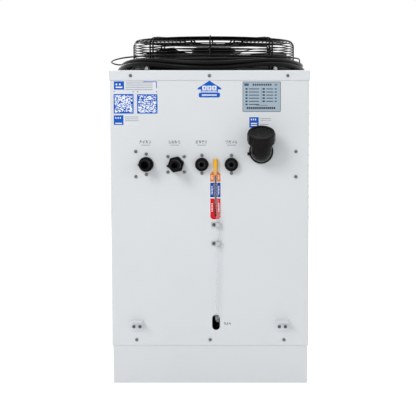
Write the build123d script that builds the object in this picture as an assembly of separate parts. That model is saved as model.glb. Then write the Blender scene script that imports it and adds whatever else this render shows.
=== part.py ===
from build123d import *
import math
import os

# Recirculating chiller. Millimetres, +Z up, the service side with the water ports faces -Y.
# The origin is the middle of the cabinet's base, on the floor.

# Cabinet
body_width = 480
body_depth = 500
lid_top = 766
lid_flange = 24
plinth_height = 94
sheet = 1.5
tray_sheet = 2
slip = 0.5
seat = 0.3
past = 1
far_past = 5
panel_return = 20
fold_radius = 3
tray_lap = 30
post_leg = 25
post_sheet = 2
post_round = 1.5

# Pan head screws
screw_head = 8
screw_head_height = 2.4
screw_shank = 4
screw_length = 9
screw_hole = 0.2
lid_screw_x = (-190, 0, 189)
lid_screw_y = (-190, 190)
lid_screw_drop = 13
base_screw_x = (-180, 0, 181)
base_screw_z = 108
side_screw_y = (-190, 190)
side_screw_z = 112

# Fan, wire guard and its feet, heights above the lid
fan_radius = 196
fan_drop = 48
blade_count = 5
blade_sheet = 1.8
blade_camber = 210
blade_pitch = 24
blade_chord = 120
inlet_radius = 201
inlet_depth = 18
inlet_bend = 8
inlet_lap = 3
guard_radius = 208.5
guard_height = 88
ring_wire = 2.8
arm_wire = 4
weld = 0.6
side_ring_pitch = 6.6
side_ring_count = 11
side_ring_low = 9
top_ring_pitch = 10.4
top_ring_count = 12
shoulder_radius = 16
hub_plate_radius = 64
hub_plate_sheet = 2.5
hub_dip = 12
arm_gap = 11
foot_radius = 226
foot_bolt = 6
foot_washer = 13
motor_radius = 56
motor_low = 8
motor_wall = 3
motor_shaft = 6
motor_core = 50
motor_flange = 46
motor_flange_height = 5.5
motor_flange_gap = 3
motor_floor_gap = 4
bearing_radius = 13
bearing_height = 10
bearing_fit = 0.05
hub_band = 2
hub_rise = 44
bend_radius = 6
foot_bend = 4
hub_lap = 12
hub_slope = (2, 14)
ring_side_gap = 1.6
nut_radius = 5.7
nut_height = 5
washer_sheet = 1.6
bolt_above = 7
bolt_below = 14

# A blade's outline: share of the way from hub to tip, middle angle and half its width in degrees
blade_stations = ((0, 0, 34), (0.47, -6, 22), (1, 10, 17))

# Water ports on the service side
port_z = 539
port_flange_sheet = 5
outlet_x = -153.7
inlet_x = -81.2
push_x = (-18.6, 53)
outlet_bore = 9
outlet_barrel = 12
outlet_nut_radius = 18
outlet_reach = 40
outlet_nut_height = 10
outlet_screws = 25
outlet_flange = (66, 28)
inlet_bore = 7
inlet_barrel = 13
inlet_nut_radius = 20.5
inlet_reach = 53
inlet_nut_height = 14
inlet_nut_round = 3
inlet_nut_turn = 12
inlet_screws = (20, 19)
inlet_flange = 56
inlet_flange_round = 8
nut_play = 0.1
pointer_size = (5, 4, 5)
push_bore = 6
push_body = 16.3
push_reach = 15
push_screws = 22
push_flange = (58, 28)
collet_travel = 1.5
collet_head = 9.5
collet_outer = 7.5
collet_sheet = 2.5
collet_sleeve = 12
stub_radius = 8
stub_wide = 11
spigot_length = 34
hose_plane = -32

# Filler neck and screw cap
filler_x = 125
filler_z = 570
filler_outer = 25
filler_bore = 21
filler_spigot = 28
filler_rise = 60
filler_bend = 26
filler_length = 44
filler_ring = 29.5
filler_ring_height = 7
filler_thread = (3, 11)
filler_lock = 5
cap_radius = 32.5
cap_height = 26
cap_top = 56
cap_inner = 26.2
cap_play = 0.3
cap_lugs = 12
cap_lug = 3
cap_dish = (8, 1.2)
seal_low = 44.2
seal_height = 3

# Level hose, its stopper, clips and drain slot
hose_outer = 5
hose_bore = 3.5
hose_stand = 7
slot_x = 14.5
slot_z = 151
slot_width = 19
slot_height = 38
hose_entry_z = 154
hose_entry_bend = 20
hose_entry_x = 18
drain_barb = 8
drain_radius = 6
drain_y = -190
hose_top = 526
stopper_radius = 5.5
stopper_height = 27
stopper_barb = 12
stopper_lip = 0.7
clip_x = 21
clip_heights = (346, 392)
clip_width = 10
clip_strap = 1.6
clip_screw_x = 9.5
clip_tab = 6

# Angle brackets low on the service side
bracket_x = (-179, 177)
bracket_width = 29
bracket_low = 131
bracket_top = 159
bracket_reach = 28
bracket_sheet = 3
bracket_screw_z = 141
bracket_screw_gap = 15
bracket_hole = 3.25
bracket_fillet = 2

# Tank and what it hangs on
tank_x = (-168, 198)
tank_y = (-205, -75)
tank_z = (400, 610)
tank_bracket_x = (-179, 209)
tank_bracket_holes = (509, 570)
tank_bracket_width = 24
bracket_plate = 2
bracket_lap = 14
bracket_foot = 26
tank_round = 12

# Pumps and their hoses
pump_offset = 28
suction_offset = 30
pump_z = 60
pump_motor = 40
pump_volute = 45
volute_half = 18
pump_length = 150
pump_foot = (30, 130)
hose_fit = 0.1
hose_sweep = 60
hose_rise = (210, 290)
spigot_rise = 78
spigot_lap = 20
hose_wall = 11

# Cooling circuit
compressor_place = (-130, 60)
compressor_radius = 65
compressor_top = 236
compressor_reach = 75
compressor_dome = 22
foot_rubber = 12
foot_sheet = 5
foot_arm = 30
terminal_cover = (18, 12)
discharge_radius = 5
suction_radius = 6
liquid_radius = 4
pipe_side = 30
pipe_rise = (60, 90, 40)
pipe_bend = (24, 26, 16)
condenser_half = 200
condenser_y = (190, 232)
condenser_top = 540
condenser_bends = 5
condenser_plate = 3
condenser_tube = (12, 4)
condenser_lift = 8
bend_low = 60
bend_span = 110
exchanger_box = (-40, 40, 25, 55)
exchanger_top = 202
exchanger_round = 8
drier_place = (110, 100)
drier_radius = 20
drier_low = 160
drier_height = 90
drier_stub = (5, 8)
drier_round = 6
box_y = (-30, 170)
box_z = (560, 732)
box_depth = 110
box_lip = (8, 2)

# Control side
front_opening = (360, 340)
front_opening_z = 330
grille_lap = 10
grille_front = 5
grille_slats = 13
grille_rim = 10
grille_wall = 3
corner_round = 8
slat_sheet = 2
slat_depth = 14
slat_tilt = 35
filter_depth = 6
filter_border = 8
filter_mesh = 0.8
control_z = 690
bezel_size = (240, 80)
bezel_sheet = 4
bezel_chamfer = 1
controller_x = -55
controller_face = (78, 36)
controller_body = (71, 29)
controller_proud = 4
controller_depth = 60
controller_round = 3
window_half = 26
window_rise = (-3, 13)
window_depth = 1.2
button_size = (8.4, 5.4)
button_count = 4
button_pitch = 11
button_drop = 10
button_depth = 4
button_proud = 1
button_gap = 0.3
button_chamfer = 0.4
switch_x = 72
switch_face = (31, 25)
switch_body = (27, 21)
switch_depth = 24
switch_round = 2
switch_sheet = 2
switch_pocket = (2.2, 10)
rocker_size = (19, 14)
rocker_tilt = 10
rocker_pin = 1.5
rocker_low = -2
rocker_high = (4.2, 5.6)
pin_lap = 2

# Cables on the lid
coil_centre_x = -5
coil_outer = 249
coil_inner = 220
coil_height = 34
power_wire = 10.5
signal_wire = 4
gland_height = 16
gland_taper = 16
power_gland_thread = 8
power_gland_hex = (12, 6)
power_gland_turret = 9.5
power_gland_arm = (8.5, 16)
power_gland_nut = (10, 9)
relief_wall = 1.2
power_gland_place = (205, 222)
signal_gland_height = 9
signal_gland_thread = 5
signal_gland_hex = (8, 4)
signal_gland_turret = 6
signal_gland_arm = (5, 14)
signal_gland_taper = (4.6, 0.8, 12)
gland_below = 10
signal_gland_place = (228, 190)
notch_half = 13
notch_height = 16
notch_end = 5
plug_radius = 19
plug_length = 42
plug_relief = (9, 22)
plug_round = 4
plug_pin = (2.4, 19)
plug_pin_circle = 8
connector_steps = ((3, 0, 10), (6, 9, 26), (7, 24, 36))

# Louvres of the side panels
louvre_rows = 11
louvre_pitch = 26
louvre_low = 400
louvre_length = 150
louvre_depth = 6
louvre_height = 11
louvre_columns = (-100, 100)
louvre_wall = 1.2

# Worked out from the sizes above
rear_y = -body_depth / 2
front_y = body_depth / 2
side_x = body_width / 2
lid_out_x = side_x + sheet + slip
lid_out_y = front_y + sheet + slip
tray_out_x = side_x - sheet - slip
tray_out_y = front_y - sheet - slip
tray_top = plinth_height + tray_lap
panel_top = lid_top - sheet - 2 * slip
lid_screw_z = lid_top - lid_screw_drop
post_x = tray_out_x - tray_sheet
post_y = tray_out_y - tray_sheet
arm_z = lid_top + guard_height - arm_wire / 2
ring_z = arm_z - arm_wire / 2 - ring_wire / 2 + weld
arm_radius = guard_radius + ring_wire / 2 + arm_wire / 2 - weld
hub_wire_z = arm_z - hub_dip + arm_wire / 2
hub_plate_top = hub_wire_z - arm_wire / 2 + weld
hub_plate_low = hub_plate_top - hub_plate_sheet
core_low = lid_top + motor_low + motor_wall + motor_floor_gap
fan_middle = lid_top + guard_height - fan_drop
cap_low = cap_top - cap_height
rocker_y = front_y + bezel_sheet - 1
hose_y = rear_y - hose_stand


# Plain forms

def block(x0, x1, y0, y1, z0, z1):
    """A block between two corners."""
    middle = Pos((x0 + x1) / 2, (y0 + y1) / 2, (z0 + z1) / 2)
    return middle * Box(x1 - x0, y1 - y0, z1 - z0)


def post(radius, z0, z1, x=0, y=0):
    """An upright cylinder between two heights."""
    return Pos(x, y, (z0 + z1) / 2) * Cylinder(radius, z1 - z0)


def bar_y(radius, y0, y1, x, z):
    """A cylinder along Y."""
    return Pos(x, (y0 + y1) / 2, z) * Rot(90, 0, 0) * Cylinder(radius, y1 - y0)


def bar_x(radius, x0, x1, y, z):
    """A cylinder along X."""
    return Pos((x0 + x1) / 2, y, z) * Rot(0, 90, 0) * Cylinder(radius, x1 - x0)


def turned(points):
    """A solid of revolution about Z from a closed outline of (radius, height) points."""
    return revolve(Plane.XZ * Polygon(*points, align=None), Axis.Z)


def piped(points, radii, section):
    """A section swept along straight runs that are joined by tangent arcs."""
    path = FilletPolyline(*points, radius=radii)
    return sweep(Plane(origin=path @ 0, z_dir=path % 0) * section, path=path)


def group(items):
    """Separate solids of one kind, kept together in one node."""
    return Compound(children=list(items))


def rounded_y(width, height, radius, y0, y1, x, z):
    """A plate with rounded corners that faces along Y."""
    face = Plane.XZ * RectangleRounded(width, height, radius)
    return Pos(x, y1, z) * extrude(face, y1 - y0)


def slot_plate(width, height, y0, y1, x, z):
    """An upright plate with round ends that faces along Y."""
    face = Plane.XZ * SlotOverall(height, width, rotation=90)
    return Pos(x, y1, z) * extrude(face, y1 - y0)


# Screws

def screw():
    """A pan head screw that stands on z = 0 with its shank below."""
    head = Pos(0, 0, screw_head_height / 2) * Cylinder(screw_head / 2, screw_head_height)
    head = chamfer(head.edges().group_by(Axis.Z)[-1], screw_head_height / 3)
    return head + Pos(0, 0, -screw_length / 2) * Cylinder(screw_shank / 2, screw_length)


def screw_at(x, y, z, facing):
    """The screw with its head on the point and facing -Y, +Y, -X or +X."""
    turns = {"-y": (90, 0, 0), "+y": (-90, 0, 0), "-x": (0, -90, 0), "+x": (0, 90, 0)}
    return Pos(x, y, z) * Rot(*turns[facing]) * screw()


def screw_bore(x, y, z, facing, deep=screw_length):
    """What a screw's shank takes out of the sheets that it passes."""
    radius = screw_shank / 2 + screw_hole
    if facing in ("-y", "+y"):
        return bar_y(radius, y - deep, y + deep, x, z)
    return bar_x(radius, x - deep, x + deep, y, z)


lid_screw_places = [(x, -lid_out_y, lid_screw_z, "-y") for x in lid_screw_x]
lid_screw_places += [(x, lid_out_y, lid_screw_z, "+y") for x in lid_screw_x]
lid_screw_places += [(-lid_out_x, y, lid_screw_z, "-x") for y in lid_screw_y]
lid_screw_places += [(lid_out_x, y, lid_screw_z, "+x") for y in lid_screw_y]
base_screw_places = [(x, rear_y, base_screw_z, "-y") for x in base_screw_x]
base_screw_places += [(x, front_y, base_screw_z, "+y") for x in base_screw_x]
base_screw_places += [(-side_x, y, side_screw_z, "-x") for y in side_screw_y]
base_screw_places += [(side_x, y, side_screw_z, "+x") for y in side_screw_y]
tank_screw_places = [(x, rear_y, z, "-y") for x in tank_bracket_x for z in tank_bracket_holes]
port_screw_places = [(outlet_x, rear_y, port_z + s * outlet_screws, "-y") for s in (-1, 1)]
port_screw_places += [
    (inlet_x + s * inlet_screws[0], rear_y, port_z + t * inlet_screws[1], "-y")
    for s in (-1, 1)
    for t in (-1, 1)
]
port_screw_places += [(x, rear_y, port_z + s * push_screws, "-y") for x in push_x for s in (-1, 1)]
clip_screw_places = [(clip_screw_x, rear_y - clip_strap, z, "-y") for z in clip_heights]
bracket_screw_places = [
    (x + s * bracket_screw_gap / 2, rear_y - bracket_sheet, bracket_screw_z, "-y")
    for x in bracket_x
    for s in (-1, 1)
]
panel_screw_places = lid_screw_places + base_screw_places + tank_screw_places
fitting_screw_places = port_screw_places + clip_screw_places + bracket_screw_places


def bored(shape, places):
    """The shape with the holes of the screws at these places."""
    for place in places:
        shape = shape - screw_bore(*place)
    return shape


# Cabinet

def base_tray():
    """The plinth: a folded tray whose skirts run up behind the panels."""
    outer = Pos(0, 0, tray_top / 2) * Box(2 * tray_out_x, 2 * tray_out_y, tray_top)
    outer = fillet(outer.edges().filter_by(Axis.Z), fold_radius)
    inner = Pos(0, 0, tray_top / 2 + tray_sheet) * Box(
        2 * (tray_out_x - tray_sheet), 2 * (tray_out_y - tray_sheet), tray_top
    )
    inner = fillet(inner.edges().filter_by(Axis.Z), fold_radius - tray_sheet)
    return bored(outer - inner, base_screw_places)


def corner_post(sx, sy):
    """An angle that stands in a corner of the tray and carries the lid."""
    low = tray_sheet
    high = lid_top - sheet - seat
    along = block(0, post_leg, 0, post_sheet, low, high)
    across = block(0, post_sheet, 0, post_leg, low, high)
    angle = along + across
    angle = fillet(angle.edges().filter_by(Axis.Z).sort_by(lambda e: (e @ 0).X + (e @ 0).Y)[0], post_round)
    turn = {(-1, -1): 0, (1, -1): 90, (1, 1): 180, (-1, 1): 270}[(sx, sy)]
    return Pos(sx * post_x, sy * post_y, 0) * Rot(0, 0, turn) * angle


def folded_panel(sy):
    """A panel folded back at both sides, its face at the rear or the front of the cabinet."""
    outer = RectangleRounded(body_width, 2 * panel_return, fold_radius)
    inner = RectangleRounded(
        body_width - 2 * sheet, 2 * (panel_return - sheet), fold_radius - sheet
    )
    half = (outer - inner) & Pos(0, sy * panel_return / 2) * Rectangle(body_width, panel_return)
    panel = extrude(half, panel_top - plinth_height)
    return Pos(0, sy * (body_depth / 2 - panel_return), plinth_height) * panel


def rear_panel():
    """The service panel with the holes for the ports, the filler and the drain slot."""
    panel = folded_panel(-1)
    panel = bored(panel, panel_screw_places + fitting_screw_places)
    bore_low = rear_y - far_past
    bore_high = rear_y + far_past
    panel -= bar_y(outlet_barrel + seat, bore_low, bore_high, outlet_x, port_z)
    panel -= bar_y(inlet_barrel + seat, bore_low, bore_high, inlet_x, port_z)
    for x in push_x:
        panel -= bar_y(stub_radius + seat, bore_low, bore_high, x, port_z)
    panel -= bar_y(filler_outer + seat, bore_low, bore_high, filler_x, filler_z)
    return panel - slot_plate(slot_width, slot_height, bore_low, bore_high, slot_x, slot_z)


def front_panel():
    """The control side: an air intake below and a cut-out for the controls above."""
    panel = bored(folded_panel(1), lid_screw_places + base_screw_places)
    half_w = front_opening[0] / 2
    half_h = front_opening[1] / 2
    low = front_y - far_past
    high = front_y + far_past
    panel -= block(-half_w, half_w, low, high, front_opening_z - half_h, front_opening_z + half_h)
    panel -= opening_for(controller_body, controller_x, low, high)
    return panel - opening_for(switch_body, switch_x, low, high)


def opening_for(size, x, y0, y1):
    """The cut-out that a panel-mounted housing passes through."""
    half_w = size[0] / 2 + seat
    half_h = size[1] / 2 + seat
    return block(x - half_w, x + half_w, y0, y1, control_z - half_h, control_z + half_h)


def louvre():
    """A pressed louvre, open at its lower edge, standing out along +X."""
    steep = louvre_height / louvre_depth
    drop = louvre_wall * math.hypot(1, steep)
    hood = Polygon((0, louvre_height), (louvre_depth, 0), (0, 0), align=None)
    inner_top = louvre_height - drop
    inner_out = inner_top / steep
    hollow = Polygon(
        (-2 * sheet, inner_top), (0, inner_top), (inner_out + 0.5 / steep, -0.5), (-2 * sheet, -0.5),
        align=None,
    )
    outside = extrude(Plane.XZ * hood, louvre_length / 2, both=True)
    inside = extrude(Plane.XZ * hollow, louvre_length / 2 - louvre_wall, both=True)
    return outside, inside


def side_panel(sx):
    """A flat side panel with two columns of louvres."""
    gap = panel_return + slip
    panel = block(side_x - sheet, side_x, rear_y + gap, front_y - gap, plinth_height, panel_top)
    outside, inside = louvre()
    for y in louvre_columns:
        for row in range(louvre_rows):
            place = Pos(side_x, y, louvre_low + row * louvre_pitch)
            panel = panel + place * outside - place * inside
    if sx < 0:
        panel = mirror(panel, Plane.YZ)
    return bored(panel, lid_screw_places + base_screw_places)


def top_lid():
    """The lid: a folded pan with a bell-mouthed fan opening."""
    outer = block(-lid_out_x, lid_out_x, -lid_out_y, lid_out_y, lid_top - lid_flange, lid_top)
    outer = fillet(outer.edges().filter_by(Axis.Z) + outer.edges().group_by(Axis.Z)[-1], fold_radius)
    in_x = lid_out_x - sheet
    in_y = lid_out_y - sheet
    inner = block(-in_x, in_x, -in_y, in_y, lid_top - lid_flange - past, lid_top - sheet)
    inner = fillet(
        inner.edges().filter_by(Axis.Z) + inner.edges().group_by(Axis.Z)[-1], fold_radius - sheet
    )
    wide = inlet_radius + sheet + inlet_bend
    lid = outer - inner - post(wide, lid_top - far_past, lid_top + far_past)
    under = lid_top - sheet
    mouth = Polygon(
        (inlet_radius, lid_top), (wide + inlet_lap, lid_top), (wide + inlet_lap, under),
        (inlet_radius + sheet, under), (inlet_radius + sheet, lid_top - inlet_depth),
        (inlet_radius, lid_top - inlet_depth), align=None,
    )
    mouth = fillet(corner_near(mouth, inlet_radius, lid_top), inlet_bend)
    mouth = fillet(corner_near(mouth, inlet_radius + sheet, under), inlet_bend - sheet)
    lid = lid + revolve(Plane.XZ * mouth, Axis.Z)
    for x, y in foot_places():
        lid -= lid_hole(foot_bolt / 2, x, y)
    lid -= lid_hole(power_gland_thread, *power_gland_place)
    lid -= lid_hole(signal_gland_thread, *signal_gland_place)
    return bored(lid, lid_screw_places)


def lid_hole(radius, x, y):
    """A hole through the lid for a bolt or a gland's thread."""
    return post(radius + screw_hole, lid_top - far_past, lid_top + far_past, x, y)


def corner_near(face, x, y):
    """The corner of a flat outline that is nearest to a point."""
    return face.vertices().sort_by(lambda v: math.hypot(v.X - x, v.Y - y))[0]


# Fan

def foot_places():
    """The four bolts of the guard, on the diagonals."""
    reach = foot_radius / math.sqrt(2)
    return [(sx * reach, sy * reach) for sx in (-1, 1) for sy in (-1, 1)]


def ring(radius, z):
    """One round of the guard's wire, drawn as a square section."""
    half = ring_wire / 2
    return post(radius + half, z - half, z + half) - post(radius - half, z - half, z + half)


def arm_over_the_top():
    """The (radius, height) corners of an arm from the hub plate to the guard's shoulder."""
    slope_low, slope_high = hub_slope
    return [
        (hub_plate_radius - hub_lap, hub_wire_z), (hub_plate_radius + slope_low, hub_wire_z),
        (hub_plate_radius + slope_high, arm_z), (arm_radius, arm_z),
    ]


def single_arm():
    """A wire from the hub plate over the top and down the side."""
    low = lid_top + side_ring_low - ring_wire / 2
    points = [(r, 0, z) for r, z in arm_over_the_top() + [(arm_radius, low)]]
    return piped(points, [bend_radius, bend_radius, shoulder_radius], Circle(arm_wire / 2))


def double_arm():
    """A hairpin: down the side, out to a foot, round the bolt and back."""
    side = arm_gap / 2
    foot_z = lid_top + arm_wire / 2 + 0.1
    toe = foot_radius + side
    half = arm_over_the_top() + [(arm_radius, foot_z), (toe, foot_z)]
    out = [(r, side, z) for r, z in half]
    back = [(r, -side, z) for r, z in reversed(half)]
    bend = [bend_radius, bend_radius, shoulder_radius, foot_bend]
    turn = side - 0.05
    return piped(out + back, bend + [turn, turn] + bend[::-1], Circle(arm_wire / 2))


def fan_guard():
    """The wire basket over the fan, welded into one piece."""
    pieces = [ring(guard_radius, lid_top + side_ring_low + i * side_ring_pitch)
              for i in range(side_ring_count)]
    first = guard_radius - ring_wire - ring_side_gap
    pieces += [ring(first - i * top_ring_pitch, ring_z) for i in range(top_ring_count)]
    plate = post(hub_plate_radius, hub_plate_low, hub_plate_top)
    plate -= post(motor_shaft + 4, hub_plate_low - past, hub_plate_top + past)
    arms = [Rot(0, 0, 90 * i) * single_arm() for i in range(4)]
    arms += [Rot(0, 0, 45 + 90 * i) * double_arm() for i in range(4)]
    return plate.fuse(*pieces, *arms)


def guard_bolts():
    """A bolt, washer and nut through each foot of the guard."""
    items = []
    wire_top = lid_top + arm_wire + 0.2
    for x, y in foot_places():
        washer_top = wire_top + washer_sheet
        washer = post(foot_washer / 2, wire_top, washer_top, x, y)
        nut = Pos(x, y, washer_top) * extrude(RegularPolygon(nut_radius, 6), nut_height)
        shank = post(foot_bolt / 2, lid_top - bolt_below, washer_top + bolt_above, x, y)
        items.append(washer + nut + shank)
    return group(items)


def motor_stator():
    """The fixed part of the motor, hung under the guard's hub plate, bored for two bearings."""
    top = hub_plate_low
    flange_low = top - motor_flange_height
    core_high = flange_low - motor_flange_gap
    neck = bearing_radius + 8
    bore = motor_shaft + 2
    return turned([
        (bearing_radius, core_low), (motor_core, core_low), (motor_core, core_high),
        (neck, core_high), (neck, flange_low), (motor_flange, flange_low), (motor_flange, top),
        (bearing_radius, top), (bearing_radius, top - bearing_height),
        (bore, top - bearing_height), (bore, core_low + bearing_height),
        (bearing_radius, core_low + bearing_height),
    ])


def motor_bearings():
    """Two sealed ball bearings, drawn as closed rings between the shaft and the stator."""
    rings = []
    for low in (core_low, hub_plate_low - bearing_height):
        outer = post(bearing_radius - bearing_fit, low, low + bearing_height)
        rings.append(outer - post(motor_shaft + bearing_fit, low - past, low + bearing_height + past))
    return group(rings)


def rotor_can():
    """The outer rotor: a cup with the shaft in its middle."""
    low = lid_top + motor_low
    high = hub_plate_low - motor_flange_height - motor_flange_gap + 1
    inside = motor_radius - motor_wall
    return turned([
        (0, low), (motor_radius, low), (motor_radius, high), (inside, high),
        (inside, low + motor_wall), (motor_shaft, low + motor_wall),
        (motor_shaft, hub_plate_low - 0.6), (0, hub_plate_low - 0.6),
    ])


def blade():
    """One pressed sickle blade: a cambered sheet cut to its outline."""
    sheet_arc = Circle(blade_camber + blade_sheet / 2) - Circle(blade_camber - blade_sheet / 2)
    arc = Pos(0, -blade_camber) * sheet_arc & Rectangle(2 * blade_chord, 2 * blade_chord)
    pitched = Rot(blade_pitch, 0, 0) * extrude(Plane.YZ * arc, fan_radius + 10)
    root = motor_radius + hub_band / 2
    stations = [(root + share * (fan_radius - root), mid, half) for share, mid, half in blade_stations]
    lead = [polar(r, mid + half) for r, mid, half in stations]
    trail = [polar(r, mid - half) for r, mid, half in reversed(stations)]
    outline = make_face([
        ThreePointArc(*lead),
        ThreePointArc(lead[2], polar(fan_radius, stations[2][1]), trail[0]),
        ThreePointArc(*trail),
        ThreePointArc(trail[2], polar(root, stations[0][1]), lead[0]),
    ])
    return extrude(outline, blade_chord, both=True) & pitched


def polar(radius, angle):
    """A flat point at a radius and an angle in degrees."""
    turn = math.radians(angle)
    return (radius * math.cos(turn), radius * math.sin(turn))


def fan_impeller():
    """Blades on a band that is pressed over the rotor."""
    inner = motor_radius + bearing_fit
    outer = motor_radius + hub_band
    low = fan_middle - hub_rise / 2
    high = fan_middle + hub_rise / 2
    band = post(outer, low, high)
    one = Pos(0, 0, fan_middle) * blade()
    blades = [Rot(0, 0, 360 / blade_count * i) * one for i in range(blade_count)]
    return band.fuse(*blades) - post(inner, low - far_past, high + far_past)


# Water ports, drawn with their axis along Z and the panel's face at zero, then turned to face -Y

def on_rear(x, z, shape):
    """A piece of the service side put in its place."""
    return Pos(x, rear_y, z) * Rot(90, 0, 0) * shape


def port_plate(shape):
    """The flange behind the panel that the port's screws hold."""
    return Pos(0, 0, -sheet - port_flange_sheet) * extrude(shape, port_flange_sheet)


def port_holes(places):
    """The screw holes of a port's flange."""
    radius = screw_shank / 2 + screw_hole
    low = -sheet - port_flange_sheet - past
    return [post(radius, low, past, x, y) for x, y in places]


def elbow_stub():
    """The inner end of an outlet port: a closed stub with a spigot that points down."""
    end = -sheet - port_flange_sheet
    stub = post(stub_wide, hose_plane - stub_radius - 3, end)
    down = Pos(0, -spigot_length / 2, hose_plane) * Rot(90, 0, 0) * Cylinder(stub_radius, spigot_length)
    return stub + down


def return_stub():
    """The inner end of a return port, which runs back to the tank."""
    return post(stub_wide, rear_y - tank_y[0] + seat, -sheet - port_flange_sheet)


def outlet_port():
    """The first port: a threaded barrel on an oval flange."""
    body = post(outlet_barrel, -sheet - past, outlet_reach) + elbow_stub()
    body = chamfer(body.edges().group_by(Axis.Z)[-1], 1)
    body += port_plate(SlotOverall(*outlet_flange, rotation=90))
    body -= post(outlet_bore, hose_plane, outlet_reach + past)
    for hole in port_holes([(0, outlet_screws), (0, -outlet_screws)]):
        body -= hole
    return on_rear(outlet_x, port_z, body)


def nut_pointer(radius, low):
    """The small pointer moulded on a nut's left edge."""
    length, width, height = pointer_size
    left = -radius - length / 2
    return block(left, left + length, low, low + width, seat, seat + height)


def outlet_nut():
    """The round lock nut of the first port, with a pointer at its left."""
    nut = post(outlet_nut_radius, seat, outlet_nut_height)
    nut = chamfer(nut.edges().group_by(Axis.Z)[-1], 2) + nut_pointer(outlet_nut_radius, -3.5)
    nut -= post(outlet_barrel + nut_play, 0, outlet_nut_height + past)
    return on_rear(outlet_x, port_z, nut)


def inlet_port():
    """The second port: a wide barrel on a square flange."""
    body = post(inlet_barrel, -sheet - past, inlet_reach)
    body = chamfer(body.edges().group_by(Axis.Z)[-1], 1.5)
    body += port_plate(RectangleRounded(inlet_flange, inlet_flange, inlet_flange_round)) + return_stub()
    body -= post(inlet_bore, rear_y - tank_y[0] - past, inlet_reach + past)
    places = [(s * inlet_screws[0], t * inlet_screws[1]) for s in (-1, 1) for t in (-1, 1)]
    for hole in port_holes(places):
        body -= hole
    return on_rear(inlet_x, port_z, body)


def inlet_nut():
    """The hexagonal union nut of the second port, with rounded corners and a pointer."""
    hexagon = RegularPolygon(inlet_nut_radius, 6, rotation=inlet_nut_turn)
    face = fillet(hexagon.vertices(), inlet_nut_round)
    nut = Pos(0, 0, seat) * extrude(face, inlet_nut_height - seat)
    nut += nut_pointer(inlet_nut_radius, -6)
    nut -= post(inlet_barrel + nut_play, 0, inlet_nut_height + past)
    return on_rear(inlet_x, port_z, nut)


def push_port(x, inner):
    """A push-in port: a round collar with a socket for its collet."""
    body = post(push_body, seat, push_reach)
    body = chamfer(body.edges().group_by(Axis.Z)[-1], 2)
    body += post(stub_radius, -sheet - past, past) + inner
    body += port_plate(SlotOverall(*push_flange, rotation=90))
    body -= post(collet_outer + nut_play, 2, push_reach + past)
    body -= post(push_bore - 1, hose_plane, 3)
    for hole in port_holes([(0, push_screws), (0, -push_screws)]):
        body -= hole
    return on_rear(x, port_z, body)


def collet(x):
    """The release collet of a push-in port: a thin sleeve with a head."""
    under = push_reach + collet_travel + seat
    sleeve = post(collet_outer, under - collet_sleeve, under + past)
    head = post(collet_head, under, under + collet_sheet)
    head = chamfer(head.edges().group_by(Axis.Z)[-1], 0.6)
    return on_rear(x, port_z, sleeve + head - post(push_bore, 0, under + collet_sheet + past))


# Filler

def on_filler(shape):
    """A piece put on the axis of the slanted filler neck."""
    return Pos(filler_x, rear_y - filler_spigot, filler_z) * Rot(90 - filler_rise, 0, 0) * shape


def filler_neck():
    """The elbow: a ring on the panel, a spigot and a neck that turns up and outwards."""
    rise = math.radians(filler_rise)
    corner_y = rear_y - filler_spigot
    points = [
        (filler_x, tank_y[0] - seat, filler_z), (filler_x, corner_y, filler_z),
        (filler_x, corner_y - filler_length * math.cos(rise), filler_z + filler_length * math.sin(rise)),
    ]
    wall = Circle(filler_outer) - Circle(filler_bore)
    neck = piped(points, [filler_bend], wall)
    low = rear_y - filler_ring_height
    hollow = bar_y(filler_outer - 1, low - past, rear_y + 20, filler_x, filler_z)
    flange = bar_y(filler_ring, low, rear_y - seat, filler_x, filler_z)
    flange = chamfer(flange.edges().group_by(Axis.Y)[0], 2)
    flange += block(filler_x - filler_ring - 4, filler_x - filler_ring + 3, low + 2, rear_y - seat,
                    filler_z - 9, filler_z - 2)
    lock = bar_y(filler_ring + 2, rear_y + sheet + seat, rear_y + sheet + filler_lock, filler_x, filler_z)
    band = post(cap_inner - cap_play, cap_low + filler_thread[0], cap_low + filler_thread[1])
    band -= post(filler_outer - 1, cap_low, cap_low + filler_thread[1] + past)
    return neck + (flange - hollow) + (lock - hollow) + on_filler(band)


def filler_cap():
    """The screw cap: a deep cup with grip lugs round its skirt."""
    cup = post(cap_radius, cap_low, cap_top)
    cup = fillet(cup.edges().group_by(Axis.Z)[-1], 3)
    lug = post(cap_lug, cap_low + 2, cap_top - 4, cap_radius - cap_lug + past, 0)
    lugs = [Rot(0, 0, 360 / cap_lugs * i) * lug for i in range(cap_lugs)]
    cup = cup.fuse(*lugs)
    dish = post(cap_radius - cap_dish[0], cap_top - cap_dish[1], cap_top + past)
    return on_filler(cup - dish - post(cap_inner, cap_low - past, seal_low + seal_height + seat))


def cap_seal():
    """The flat seal ring inside the cap, lying on the neck's end."""
    ring_form = post(cap_inner - 0.7, seal_low, seal_low + seal_height)
    return on_filler(ring_form - post(filler_bore - 1, seal_low - past, seal_low + seal_height + past))


# Level hose

level_hose_route = [
    (hose_entry_x, rear_y + 22, hose_entry_z), (hose_entry_x, hose_y, hose_entry_z),
    (hose_entry_x, hose_y, 215), (clip_x, hose_y, clip_heights[0] - 36),
    (clip_x, hose_y, clip_heights[1] + 33), (slot_x, hose_y, 470), (slot_x, hose_y, hose_top),
]


def level_hose():
    """The clear level hose: out of the slot and up through its clips, open for the stopper."""
    radii = route_radii(level_hose_route)
    radii[0] = hose_entry_bend
    return piped(level_hose_route, radii, Circle(hose_outer) - Circle(hose_bore))


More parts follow.
